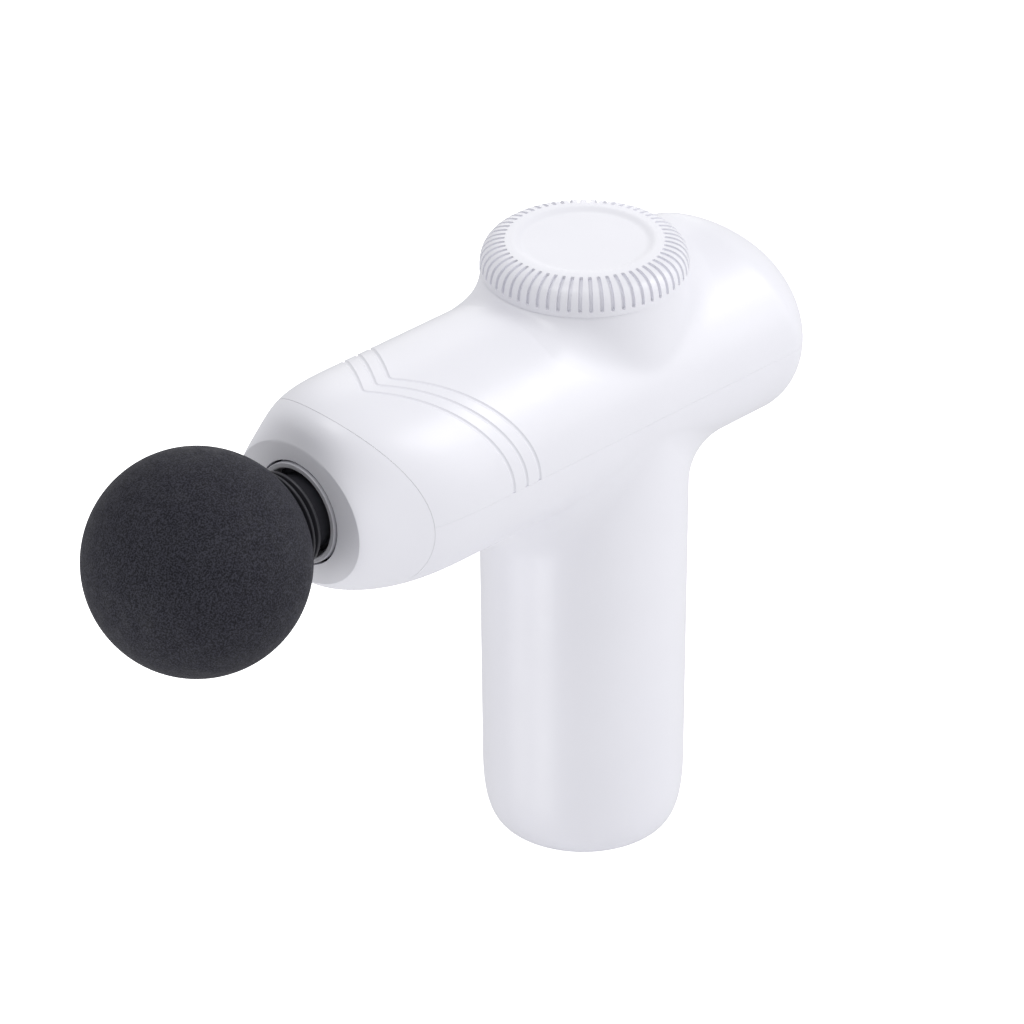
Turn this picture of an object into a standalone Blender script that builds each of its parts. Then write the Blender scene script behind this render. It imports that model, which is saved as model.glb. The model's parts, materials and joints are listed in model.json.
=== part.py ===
"""A percussive massage gun with a foam ball head: housing, crank drive, speed dial and battery.

The barrel lies along X with the ball at -X, the handle and the dial share the Z axis, and the
origin is the centre of the handle's flat base. Lengths are in metres.
"""

import math

import bmesh
import bpy
import numpy as np

MM = 0.001
GAP = 0.3 * MM  # between pieces that touch or sit in one another
TAU = 2 * math.pi

# Barrel: a cylinder along X, closed by two raked ends
BARREL_HEIGHT = 114.5 * MM
BARREL_RADIUS = 25 * MM
WALL = 2.2 * MM
PARTING_HEIGHT = -1.7 * MM  # the housings part just below the barrel's axis
# Each end surface: where it starts, how far it bulges, how square it is, and how its
# edge leans (rake) and waves (flare) round the barrel; fade sets how fast that dies away inwards
NOSE_END = {"side": -1, "start": 55.8 * MM, "bulge": 34.4 * MM, "power": 2.77,
            "rake": -7.0 * MM, "flare": -4.8 * MM, "fade": 4}
REAR_END = {"side": 1, "start": 39.4 * MM, "bulge": 17.9 * MM, "power": 1.62,
            "rake": -3.75 * MM, "flare": -2.2 * MM, "fade": 2}
SEAM_RADIUS = 23.5 * MM  # the nose cap meets the housings here
FACE_X = -87.1 * MM  # the nose ends in a flat oval face
FACE_HALF_WIDTH = 18.8 * MM
FACE_HALF_HEIGHT = 16 * MM
NOSE_HOLE_RADIUS = 12 * MM

# Handle
HANDLE_TOP_RADIUS = 23.5 * MM
HANDLE_FOOT_RADIUS = 23 * MM
HANDLE_FILLET = 14 * MM
FOOT_EDGE_WIDTH = 5 * MM
FOOT_EDGE_HEIGHT = 17.5 * MM
FOOT_EDGE_POWER = 2.6
FLOOR = 2.6 * MM

# Dial and the boss it stands on
DIAL_RADIUS = 23.1 * MM
DIAL_TOP = 33.1 * MM  # above the barrel's axis, as the next two
DIAL_FOOT = 26 * MM
BOSS_TOP = 25.7 * MM
BOSS_RADIUS = 22.9 * MM
BOSS_FILLET = 8 * MM
BOSS_HOLE_RADIUS = 5.3 * MM
DIAL_EDGE_WIDTH = 8.2 * MM
DIAL_EDGE_POWER = 2.94
SLOT_COUNT = 60
SLOT_DEPTH = 0.7 * MM
DISH_RADIUS = 14.8 * MM
DISH_DEPTH = 0.9 * MM

# Three engraved lines over the upper housing
GROOVE_COUNT = 3
GROOVE_PITCH = 3.9 * MM
GROOVE_FOOT_X = -46.9 * MM
GROOVE_SWEEP = 24.5 * MM
GROOVE_BEND = 1.72
GROOVE_KNEE = math.radians(9)
GROOVE_FOOT = math.radians(93)
GROOVE_SLANT = 15.5 * MM  # along X per radian, where a line crosses the top
GROOVE_FAR_KNEE = math.radians(-42)
GROOVE_RADIUS = 0.45 * MM

# Percussion drive: crank on the motor shaft, rod, sliding piston sleeve
STROKE = 8 * MM
CRANK_THROW = STROKE / 2
CRANK_PIN_RADIUS = 2.4 * MM
ROD_LENGTH = 38 * MM
ROD_THICKNESS = 5.6 * MM
ROD_LARGE_EYE = 8 * MM
ROD_SMALL_EYE = 4.6 * MM
CRANK_BEARING_RADIUS = 6 * MM
BUSHING_RADIUS = 3.1 * MM
WRIST_PIN_RADIUS = 2 * MM
PISTON_FRONT = -87.6 * MM
PISTON_REAR = -28 * MM
PISTON_RADIUS = 11.5 * MM
SOCKET_RADIUS = 10.2 * MM
SOCKET_MOUTH = 10.9 * MM
SOCKET_END = -54 * MM
ROD_ROOM_END = -49 * MM  # the wall between the socket and the hollow rear ends here
LINER_RADIUS = 13.6 * MM
LINER_FRONT = -78 * MM
LINER_REAR = -31 * MM
LINER_FLANGES = (-64 * MM, -38 * MM)  # the rear face of each
FLANGE_THICKNESS = 3 * MM

# Motor, upright in the handle's top
MOTOR_FLOOR = 82 * MM
PLATE = 2 * MM  # thickness of the cradle's floor and of the motor's base
CRADLE_RADIUS = 19.3 * MM
CRADLE_DEPTH = 9 * MM
DAMPER_RADIUS = 20.7 * MM
MOTOR_HUB_TOP = 98.5 * MM
ROTOR_ROOF = 100.5 * MM
ROTOR_RADIUS = 16.2 * MM
ROTOR_INNER_RADIUS = 15 * MM
MAGNET_INNER_RADIUS = 13.8 * MM
SHAFT_RADIUS = 1.5 * MM
MOTOR_BEARING_RADIUS = 4 * MM
MOTOR_SCREW_COUNT = 4
MOTOR_SCREW_CIRCLE = 11 * MM
SCREW_HEAD_RADIUS = 2.3 * MM
# One pole of the stator as (radius in mm, share of the pitch)
STATOR_POLE = ((7.5, -0.5), (7.5, -0.22), (11.8, -0.14), (11.8, -0.42), (13.4, -0.42),
               (13.4, 0.42), (11.8, 0.42), (11.8, 0.14), (7.5, 0.22))
STATOR_BORE = 5.6 * MM

# Head
BALL_RADIUS = 24.6 * MM
BALL_X = -116.5 * MM
STEM_RADIUS = 9.9 * MM
STEM_TIP_X = -66 * MM
STEM_NECK = 9.6 * MM
STEM_LIP = 11 * MM
STEM_CORE = 7.5 * MM
STEM_RING_BED = 8.3 * MM
STEM_RING_PLACES = (-80 * MM, -72 * MM)
STEM_RING_MIDDLE = 9.28 * MM
STEM_RING_THICKNESS = 0.6 * MM

# Battery
CELL_COUNT = 3
CELL_RADIUS = 9.1 * MM
CELL_LENGTH = 65 * MM
CELL_CIRCLE = 10.9 * MM
CELL_FOOT = 9 * MM
HOLDER_RADIUS = 18.6 * MM
HOLDER_THICKNESS = 2.3 * MM

# Electronics; heights of the dial's board are above the barrel's axis
BOARD_THICKNESS = 1.6 * MM
DIAL_BOARD_FOOT = 7.5 * MM
DIAL_BOARD_RADIUS = 16 * MM
POST_COUNT = 3
POST_CIRCLE = 12.5 * MM
POST_RADIUS = 2.4 * MM
CONTROL_BOARD_X = 26 * MM
CHARGE_HEIGHT = 30 * MM
PORT_WIDTH = 8.9 * MM
PORT_HEIGHT = 3.2 * MM
PORT_BACK = 15 * MM
PORT_MOUTH = 22.4 * MM

WHITE = ((0.86, 0.86, 0.88), 0.38, 0.0)
CHARCOAL = ((0.045, 0.045, 0.055), 0.75, 0.0)
FOAM = ((0.055, 0.055, 0.07), 0.95, 0.0)
RUBBER = ((0.03, 0.03, 0.03), 0.8, 0.0)
STEEL = ((0.62, 0.62, 0.64), 0.28, 1.0)
ALUMINIUM = ((0.78, 0.79, 0.80), 0.35, 1.0)
COPPER = ((0.72, 0.38, 0.20), 0.4, 1.0)
MAGNET = ((0.35, 0.35, 0.37), 0.3, 1.0)
NYLON = ((0.20, 0.21, 0.23), 0.5, 0.0)
BOARD_GREEN = ((0.02, 0.16, 0.08), 0.45, 0.0)
CELL_WRAP = ((0.05, 0.22, 0.45), 0.4, 0.0)
BRASS = ((0.75, 0.58, 0.28), 0.3, 1.0)


# ---------------------------------------------------------------- building blocks


def clear_scene():
    for item in list(bpy.data.objects):
        bpy.data.objects.remove(item, do_unlink=True)


def material(name, look):
    colour, roughness, metallic = look
    made = bpy.data.materials.new(name)
    made.use_nodes = True
    shader = made.node_tree.nodes["Principled BSDF"]
    shader.inputs["Base Color"].default_value = (*colour, 1)
    shader.inputs["Roughness"].default_value = roughness
    shader.inputs["Metallic"].default_value = metallic
    return made


def add_object(name, mesh, look, location=(0, 0, 0), rotation=(0, 0, 0)):
    mesh.materials.clear()
    mesh.materials.append(material(name, look))
    made = bpy.data.objects.new(name, mesh)
    made.location = location
    made.rotation_euler = rotation
    bpy.context.scene.collection.objects.link(made)
    return made


def finish_mesh(bm, name, sharp_angle=35):
    """Turns a bmesh into a smooth-shaded mesh with its faces pointing out."""
    bmesh.ops.remove_doubles(bm, verts=bm.verts, dist=1e-7)
    bmesh.ops.recalc_face_normals(bm, faces=bm.faces)
    mesh = bpy.data.meshes.new(name)
    bm.to_mesh(mesh)
    bm.free()
    mesh.shade_smooth()
    mesh.set_sharp_from_angle(angle=math.radians(sharp_angle))
    return mesh


def lofted_mesh(name, rings, cyclic, sharp_angle=35):
    """Joins rings of equally many points into one skin, capped at both ends unless it is cyclic."""
    bm = bmesh.new()
    rows = [[bm.verts.new(point) for point in ring] for ring in rings]
    pairs = list(zip(rows, rows[1:]))
    if cyclic:
        pairs.append((rows[-1], rows[0]))
    for first, second in pairs:
        for index in range(len(first)):
            after = (index + 1) % len(first)
            bm.faces.new((first[index], first[after], second[after], second[index]))
    if not cyclic:
        bm.faces.new(rows[0])
        bm.faces.new(rows[-1])
    return finish_mesh(bm, name, sharp_angle)


def turned_mesh(name, profile, steps=24):
    """Spins a profile of (radius, height) points about Z; it is closed unless it ends on the axis."""
    bm = bmesh.new()
    points = [bm.verts.new((radius, 0, height)) for radius, height in profile]
    edges = [bm.edges.new(pair) for pair in zip(points, points[1:])]
    if profile[0][0] > 0 or profile[-1][0] > 0:
        edges.append(bm.edges.new((points[-1], points[0])))
    bmesh.ops.spin(bm, geom=points + edges, axis=(0, 0, 1), cent=(0, 0, 0), angle=TAU, steps=steps)
    return finish_mesh(bm, name)


def add_on_z(name, profile, look, steps=24, x=0.0, y=0.0):
    """A turned piece about a vertical line; heights in the profile are above the handle's base."""
    return add_object(name, turned_mesh(name, profile, steps), look, (x, y, 0))


def add_on_barrel(name, profile, look, steps=24):
    """A turned piece about the barrel's axis; heights in the profile are places along X."""
    mesh = turned_mesh(name, profile, steps)
    return add_object(name, mesh, look, (0, 0, BARREL_HEIGHT), (0, math.pi / 2, 0))


def tube_profile(inner, outer, low, high):
    return [(inner, low), (outer, low), (outer, high), (inner, high)]


def rod_profile(radius, low, high):
    return [(0, low), (radius, low), (radius, high), (0, high)]


def extruded_mesh(name, outline, low, high):
    """A plate with the given XY outline between two heights."""
    bm = bmesh.new()
    face = bm.faces.new([bm.verts.new((x, y, low)) for x, y in outline])
    grown = bmesh.ops.extrude_face_region(bm, geom=[face])
    top = [item for item in grown["geom"] if isinstance(item, bmesh.types.BMVert)]
    bmesh.ops.translate(bm, verts=top, vec=(0, 0, high - low))
    return finish_mesh(bm, name)


def box_outline(low_x, high_x, low_y, high_y):
    return [(low_x, low_y), (high_x, low_y), (high_x, high_y), (low_x, high_y)]


def cut(target, cutter):
    """Takes the cutter out of the target and leaves it in the file as a hidden guide."""
    cutter.hide_render = True
    cutter.display_type = "WIRE"
    modifier = target.modifiers.new(cutter.name, "BOOLEAN")
    modifier.operation = "DIFFERENCE"
    modifier.solver = "EXACT"
    modifier.object = cutter


# ---------------------------------------------------------------- the housing's surface


def superellipse(share, power):
    return np.clip(1 - np.clip(share, 0, 1) ** power, 0, 1) ** (1 / power)


def end_x(end, radius, angle, inset=0.0):
    """Where an end surface lies, at a distance from the barrel's axis and an angle from its top."""
    share = radius / (BARREL_RADIUS - inset)
    reach = end["start"] + (end["bulge"] - inset) * superellipse(share, end["power"])
    lean = end["rake"] * np.cos(angle) + end["flare"] * np.cos(2 * angle)
    return end["side"] * reach + lean * np.clip(share, 0, 1) ** end["fade"]


def inside_barrel(points, inset):
    radius = np.hypot(points[:, 1], points[:, 2])
    angle = np.arctan2(points[:, 1], points[:, 2])
    ahead = points[:, 0] > end_x(NOSE_END, radius, angle, inset)
    behind = points[:, 0] < end_x(REAR_END, radius, angle, inset)
    return (radius < BARREL_RADIUS - inset) & ahead & behind


def reach_barrel(origin, directions, inset=0.0):
    """The points where rays leave the barrel, its axis being at height 0; one origin, or one each."""
    near = np.zeros(len(directions))
    far = np.full(len(directions), 8 * BARREL_RADIUS)
    for _ in range(48):
        middle = (near + far) / 2
        inside = inside_barrel(origin + directions * middle[:, None], inset)
        near = np.where(inside, middle, near)
        far = np.where(inside, far, middle)
    return origin + directions * near[:, None]


def unit(vectors):
    return vectors / np.linalg.norm(vectors, axis=-1, keepdims=True)


def turn_between(first, second, share):
    """Unit vectors a share of the way round from one set to another."""
    angle = np.arccos(np.clip((first * second).sum(1), -1, 1))[:, None]
    return (first * np.sin((1 - share) * angle) + second * np.sin(share * angle)) / np.sin(angle)


def seam_ring(angles, shift=0.0):
    """The line between nose cap and housings, moved along X by shift."""
    seam_x = end_x(NOSE_END, SEAM_RADIUS, angles) + shift
    return np.stack((seam_x, SEAM_RADIUS * np.sin(angles), SEAM_RADIUS * np.cos(angles)), axis=1)


def housing_rim(side, count):
    """Evenly spaced points round one housing's edge: the parting plane, then over the nose seam."""
    level = PARTING_HEIGHT + side * GAP / 2
    corner = math.acos(level / SEAM_RADIUS)
    seam_steps = 60
    parting_steps = 400
    across_nose = np.linspace(corner, 0 if side > 0 else math.pi, seam_steps)
    seam = seam_ring(across_nose, GAP / 2)
    corner_turn = math.atan2(seam[0][1], seam[0][0])
    turns = np.linspace(0, corner_turn, parting_steps)[:-1]
    directions = np.stack((np.cos(turns), np.sin(turns), np.zeros_like(turns)), axis=1)
    near_half = np.concatenate((reach_barrel(np.array((0, 0, level)), directions), seam))
    steps = np.linalg.norm(np.diff(near_half, axis=0), axis=1)
    travel = np.concatenate(((0,), np.cumsum(steps)))
    wanted = np.linspace(0, travel[-1], count // 2 + 1)
    half = np.stack([np.interp(wanted, travel, near_half[:, axis]) for axis in range(3)], axis=1)
    return np.concatenate((half, half[-2:0:-1] * (1, -1, 1)))


def fillet_radius(turns, post_radius, barrel_radius, ceiling, widest):
    """The rolling ball's radius between a vertical post and the barrel, small where the post ends low."""
    side_share = np.sin(turns) ** 2
    a = 1 - side_share
    b = 2 * (barrel_radius - post_radius * side_share)
    c = barrel_radius**2 - post_radius**2 * side_share - ceiling**2
    fitting = -2 * c / (b + np.sqrt(b**2 - 4 * a * c))
    return widest * fitting / (widest**4 + fitting**4) ** 0.25


def fillet_rings(side, post_radius, turns, radius, inset, count):
    """Rings down the rolling-ball fillet, from the post's wall to the barrel."""
    post = post_radius - inset
    barrel = BARREL_RADIUS - inset
    x = (post + radius) * np.cos(turns)
    y = (post + radius) * np.sin(turns)
    z = side * np.sqrt((barrel + radius) ** 2 - y**2)
    to_post = np.stack((-np.cos(turns), -np.sin(turns), np.zeros_like(turns)), axis=1)
    to_barrel = unit(np.stack((np.zeros_like(turns), -y, -z), axis=1))
    centre = np.stack((x, y, z), axis=1)
    shares = np.linspace(0, 1, count)
    return [centre + radius[:, None] * turn_between(to_post, to_barrel, share) for share in shares]


def skin_rings(side, post_radius, ceiling, widest, rim, inset, fillet_count, barrel_count):
    """One skin of a half housing, from the top of the post's fillet out to the rim."""
    count = len(rim)
    turns = np.arange(count) * TAU / count
    radius = fillet_radius(turns, post_radius - inset, BARREL_RADIUS - inset, ceiling, widest + inset)
    rings = fillet_rings(side, post_radius, turns, radius, inset, fillet_count)
    level = PARTING_HEIGHT + side * GAP / 2
    origin = np.array((0, 0, level))
    start = unit(rings[-1] - origin)
    finish = unit(rim - origin)
    for share in np.linspace(0, 1, barrel_count + 1)[1:]:
        rings.append(reach_barrel(origin, turn_between(start, finish, share), inset))
    return rings


def level_ring(radius, height, count):
    turns = np.arange(count) * TAU / count
    return np.stack((radius * np.cos(turns), radius * np.sin(turns), np.full(count, height)), axis=1)


def foot_outline(steps, inset, floor):
    """(radius, height) points from the flat base up round the handle's foot."""
    angles = np.linspace(math.pi / 2, 0, steps)
    across = np.cos(angles).clip(0) ** (2 / FOOT_EDGE_POWER)
    up = 1 - np.sin(angles) ** (2 / FOOT_EDGE_POWER)
    radius = HANDLE_FOOT_RADIUS - inset - FOOT_EDGE_WIDTH * (1 - across)
    height = floor + (FOOT_EDGE_HEIGHT - floor) * up - BARREL_HEIGHT
    return list(zip(radius, height))


def handle_rings(skin, count, foot_steps, wall_steps, inset, floor):
    """Rings from the base's edge up to the first ring of a skin, with the handle's slight taper."""
    rings = [level_ring(radius, height, count) for radius, height in foot_outline(foot_steps, inset, floor)]
    foot = rings[-1]
    between = [foot + (skin[0] - foot) * share for share in np.linspace(0, 1, wall_steps + 1)[1:-1]]
    return rings + between + skin


# ---------------------------------------------------------------- housing pieces


def lower_housing(count=44):
    rim = housing_rim(-1, count)
    no_ceiling = 10 * BARREL_RADIUS
    outer = skin_rings(-1, HANDLE_TOP_RADIUS, no_ceiling, HANDLE_FILLET, rim, 0, 4, 5)
    inner = skin_rings(-1, HANDLE_TOP_RADIUS, no_ceiling, HANDLE_FILLET, rim, WALL, 3, 3)
    outer = handle_rings(outer, count, 5, 1, 0, 0)
    inner = handle_rings(inner, count, 4, 1, WALL, FLOOR)
    mesh = lofted_mesh("lower_housing", outer + inner[::-1], cyclic=False)
    made = add_object("lower_housing", mesh, WHITE, (0, 0, BARREL_HEIGHT))
    cut(made, charge_opening())
    return made


def upper_housing(count=44):
    rim = housing_rim(1, count)
    edge_room = 0.3 * MM
    ceiling = BOSS_TOP - WALL
    outer = skin_rings(1, BOSS_RADIUS, BOSS_TOP - edge_room, BOSS_FILLET, rim, 0, 4, 5)
    inner = skin_rings(1, BOSS_RADIUS, ceiling - edge_room, BOSS_FILLET, rim, WALL, 3, 3)
    boss = [level_ring(BOSS_HOLE_RADIUS, BOSS_TOP, count), level_ring(BOSS_RADIUS, BOSS_TOP, count)]
    under = [level_ring(BOSS_RADIUS - WALL, ceiling, count), level_ring(BOSS_HOLE_RADIUS, ceiling, count)]
    mesh = lofted_mesh("upper_housing", boss + outer + inner[::-1] + under, cyclic=True)
    made = add_object("upper_housing", mesh, WHITE, (0, 0, BARREL_HEIGHT))
    for index in range(GROOVE_COUNT):
        cut(made, groove_cutter(index))
    return made


def groove_x(angle, index):
    """Where an engraved line runs, at an angle from the barrel's top; positive is the -Y side."""
    foot = GROOVE_FOOT_X + index * GROOVE_PITCH

    def swept(turn):
        return foot - GROOVE_SWEEP * ((GROOVE_FOOT - turn) / (GROOVE_FOOT - GROOVE_KNEE)) ** GROOVE_BEND

    def slanted(turn):
        return swept(GROOVE_KNEE) + GROOVE_SLANT * (GROOVE_KNEE - turn)

    if angle > GROOVE_KNEE:
        return swept(angle)
    if angle > GROOVE_FAR_KNEE:
        return slanted(angle)
    return swept(-angle) + slanted(GROOVE_FAR_KNEE) - swept(-GROOVE_FAR_KNEE)


def groove_cutter(index, steps=22):
    """A thin tube along one engraved line, half sunk into the barrel."""
    curve = bpy.data.curves.new(f"groove_cutter_{index + 1}", "CURVE")
    curve.dimensions = "3D"
    curve.bevel_depth = GROOVE_RADIUS
    curve.bevel_resolution = 0
    curve.use_fill_caps = True
    near_end = math.radians(91)
    angles = np.linspace(near_end, -near_end, steps)
    on_axis = np.array([(groove_x(angle, index), 0, 0) for angle in angles])
    outwards = np.stack((np.zeros(steps), -np.sin(angles), np.cos(angles)), axis=1)
    spline = curve.splines.new("POLY")
    spline.points.add(steps - 1)
    for point, place in zip(spline.points, reach_barrel(on_axis, outwards)):
        point.co = (*place, 1)
    guide = bpy.data.objects.new(curve.name, curve)
    bpy.context.scene.collection.objects.link(guide)
    bpy.context.view_layer.update()
    evaluated = guide.evaluated_get(bpy.context.evaluated_depsgraph_get())
    mesh = bpy.data.meshes.new_from_object(evaluated)
    bpy.data.objects.remove(guide, do_unlink=True)
    return add_object(f"groove_cutter_{index + 1}", mesh, WHITE, (0, 0, BARREL_HEIGHT))


def nose_ring(share, angles):
    """A ring of the nose's outer surface, a share of the way from the seam to the oval face's edge."""
    face_radius = 1 / np.hypot(np.sin(angles) / FACE_HALF_WIDTH, np.cos(angles) / FACE_HALF_HEIGHT)
    radius = SEAM_RADIUS + (face_radius - SEAM_RADIUS) * share
    swell = FACE_X - end_x(NOSE_END, face_radius, angles)
    along = end_x(NOSE_END, radius, angles) + swell * share**2 * (3 - 2 * share)
    return np.stack((along - GAP / 2, -radius * np.sin(angles), radius * np.cos(angles)), axis=1)


def nose_cap(count=36):
    angles = np.arange(count) * TAU / count

    def ring(radius, along):
        return np.stack((along, -radius * np.sin(angles), radius * np.cos(angles)), axis=1)

    def inside_x(radius):
        return np.maximum(end_x(NOSE_END, radius, angles, WALL), FACE_X + WALL)

    outer = [nose_ring(share, angles) for share in np.linspace(0, 1, 6)]
    face_thickness = 2.5 * MM
    mouth = [ring(NOSE_HOLE_RADIUS, np.full(count, x)) for x in (FACE_X, FACE_X + face_thickness)]
    inner = [ring(radius, inside_x(radius)) for radius in np.linspace(15 * MM, SEAM_RADIUS - WALL, 3)]
    rim = ring(SEAM_RADIUS - WALL, outer[0][:, 0])
    mesh = lofted_mesh("nose_cap", outer + mouth + inner + [rim], cyclic=True)
    return add_object("nose_cap", mesh, WHITE, (0, 0, BARREL_HEIGHT))


# ---------------------------------------------------------------- dial


def dial_outline(steps):
    """(radius, height) points from the dial's flat top down round its edge."""
    angles = np.linspace(math.pi / 2, 0, steps)
    across = np.cos(angles).clip(0) ** (2 / DIAL_EDGE_POWER)
    up = np.sin(angles) ** (2 / DIAL_EDGE_POWER)
    radius = DIAL_RADIUS - DIAL_EDGE_WIDTH * (1 - across)
    height = DIAL_FOOT + (DIAL_TOP - DIAL_FOOT) * up
    return list(zip(radius, height))


def slotted_ring(radius, height, depth):
    """A ring that dips inwards by depth at every slot, with a land between two slots."""
    points = []
    for index in range(2 * SLOT_COUNT):
        turn = index * TAU / (2 * SLOT_COUNT)
        sunk = radius - (depth if index % 2 else 0)
        points.append((sunk * math.cos(turn), sunk * math.sin(turn), height))
    return np.array(points)


def dial_knob():
    """A thick cap with a dished top and slots round its edge, hollow from below, and its hub."""
    skirt_inner = 20.3 * MM
    dish_slope = 1.2 * MM
    roof = DIAL_TOP - DISH_DEPTH - 2.4 * MM
    rings = [slotted_ring(DISH_RADIUS - dish_slope, DIAL_TOP - DISH_DEPTH, 0)]
    for index, (radius, height) in enumerate(dial_outline(5)):
        rings.append(slotted_ring(radius, height, SLOT_DEPTH if 1 <= index <= 3 else 0))
    rings += [slotted_ring(skirt_inner, DIAL_FOOT, 0), slotted_ring(skirt_inner, roof, 0)]
    mesh = lofted_mesh("dial_knob", rings, cyclic=False, sharp_angle=40)
    add_object("dial_knob", mesh, WHITE, (0, 0, BARREL_HEIGHT))
    hub_inner = 3.1 * MM
    hub_outer = 4.6 * MM
    hub_foot = BARREL_HEIGHT + 21 * MM
    add_on_z("dial_hub", tube_profile(hub_inner, hub_outer, hub_foot, BARREL_HEIGHT + roof - GAP), NYLON, 20)


def encoder(low):
    """The rotary encoder's body, bored from above for the dial's shaft, which stands clear of its floor."""
    body_radius = 7 * MM
    bore = 3.1 * MM
    floor = low + 2.4 * MM - GAP
    high = low + 6.5 * MM
    profile = [(0, low), (body_radius, low), (body_radius, high), (bore, high), (bore, floor), (0, floor)]
    add_on_z("encoder_body", profile, ALUMINIUM, 24)
    shaft_radius = 2.8 * MM
    shaft_length = 17 * MM
    shaft_foot = BARREL_HEIGHT + 12 * MM
    add_on_z("dial_shaft", rod_profile(shaft_radius, shaft_foot, shaft_foot + shaft_length), STEEL, 20)


def dial_board():
    """The encoder's board, held under the boss by three posts and three screws."""
    low = BARREL_HEIGHT + DIAL_BOARD_FOOT
    high = low + BOARD_THICKNESS
    ceiling = BARREL_HEIGHT + BOSS_TOP - WALL
    screw_radius = 2.2 * MM
    screw_head = 1.4 * MM
    add_on_z("dial_board", rod_profile(DIAL_BOARD_RADIUS, low, high), BOARD_GREEN, 24)
    for index in range(POST_COUNT):
        turn = index * TAU / POST_COUNT + math.radians(30)
        place = (POST_CIRCLE * math.cos(turn), POST_CIRCLE * math.sin(turn))
        post = rod_profile(POST_RADIUS, high + GAP, ceiling - GAP)
        screw = rod_profile(screw_radius, low - GAP - screw_head, low - GAP)
        add_on_z(f"board_post_{index + 1}", post, WHITE, 12, *place)
        add_on_z(f"board_screw_{index + 1}", screw, STEEL, 12, *place)
    encoder(high + GAP)


# ---------------------------------------------------------------- percussion drive


def arc(radius, start, end, steps, x=0.0):
    """Points of an arc in the XY plane about (x, 0)."""
    return [(x + radius * math.cos(turn), radius * math.sin(turn)) for turn in np.linspace(start, end, steps)]


def rod_outline(steps=10):
    """The rod seen from above: a large eye on the crank at the origin, a small eye at the piston."""
    lean = math.asin((ROD_LARGE_EYE - ROD_SMALL_EYE) / ROD_LENGTH)
    tangent = math.pi / 2 + lean
    large_eye = arc(ROD_LARGE_EYE, -tangent, tangent, steps)
    small_eye = arc(ROD_SMALL_EYE, tangent, TAU - tangent, steps, -ROD_LENGTH)
    return large_eye + small_eye


def bore(target, name, radius, low, high, x):
    """Cuts an upright round hole through the target, past both its faces."""
    mesh = turned_mesh(name, rod_profile(radius, low - MM, high + MM), 20)
    cut(target, add_object(name, mesh, STEEL, (x, 0, 0)))


def connecting_rod():
    low = BARREL_HEIGHT - ROD_THICKNESS / 2
    high = BARREL_HEIGHT + ROD_THICKNESS / 2
    mesh = extruded_mesh("connecting_rod", rod_outline(), low, high)
    made = add_object("connecting_rod", mesh, ALUMINIUM, (CRANK_THROW, 0, 0))
    bore(made, "crank_eye_cutter", CRANK_BEARING_RADIUS + GAP, low, high, CRANK_THROW)
    bore(made, "wrist_eye_cutter", BUSHING_RADIUS + GAP, low, high, CRANK_THROW - ROD_LENGTH)


def crank_wheel():
    """A disc with a heavy sector opposite the crank pin, bored for the shaft and the pin."""
    low = BARREL_HEIGHT - 11.2 * MM
    high = BARREL_HEIGHT - 5 * MM
    hub_radius = 8.5 * MM
    heavy_radius = 14 * MM
    half_turn = math.radians(75)
    heavy_arc = arc(heavy_radius, math.pi - half_turn, math.pi + half_turn, 14)
    hub_arc = arc(hub_radius, half_turn - math.pi, math.pi - half_turn, 16)
    made = add_object("crank_wheel", extruded_mesh("crank_wheel", heavy_arc + hub_arc, low, high), STEEL)
    bore(made, "shaft_bore_cutter", SHAFT_RADIUS + GAP, low, high, 0)
    bore(made, "pin_bore_cutter", CRANK_PIN_RADIUS + GAP, low, high, CRANK_THROW)


def crank_train():
    """Crank wheel and pin, and the rod with its bearing at one end and its bushing and pin at the other."""
    axis = BARREL_HEIGHT
    wrist_x = CRANK_THROW - ROD_LENGTH
    bearing_half = 2.6 * MM
    bushing_half = ROD_THICKNESS / 2
    wrist_half = 6.5 * MM
    crank_pin = rod_profile(CRANK_PIN_RADIUS, axis - 10.6 * MM, axis + 3.6 * MM)
    bearing_bore = CRANK_PIN_RADIUS + GAP
    bearing = tube_profile(bearing_bore, CRANK_BEARING_RADIUS, axis - bearing_half, axis + bearing_half)
    bushing = tube_profile(WRIST_PIN_RADIUS + GAP, BUSHING_RADIUS, axis - bushing_half, axis + bushing_half)
    wrist_pin = rod_profile(WRIST_PIN_RADIUS, axis - wrist_half, axis + wrist_half)
    crank_wheel()
    connecting_rod()
    add_on_z("crank_pin", crank_pin, STEEL, 20, CRANK_THROW)
    add_on_z("crank_bearing", bearing, STEEL, 20, CRANK_THROW)
    add_on_z("wrist_bushing", bushing, BRASS, 16, wrist_x)
    add_on_z("wrist_pin", wrist_pin, STEEL, 16, wrist_x)


def piston_sleeve():
    """Hollow at the rear for the rod, with a socket for the heads at the front and a wall between."""
    mouth_bevel = 1.2 * MM
    profile = [(0, SOCKET_END), (SOCKET_RADIUS, SOCKET_END), (SOCKET_RADIUS, PISTON_FRONT + mouth_bevel),
               (SOCKET_MOUTH, PISTON_FRONT), (PISTON_RADIUS, PISTON_FRONT), (PISTON_RADIUS, PISTON_REAR),
               (SOCKET_RADIUS, PISTON_REAR), (SOCKET_RADIUS, ROD_ROOM_END), (0, ROD_ROOM_END)]
    add_on_barrel("piston_sleeve", profile, ALUMINIUM, 28)


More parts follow.
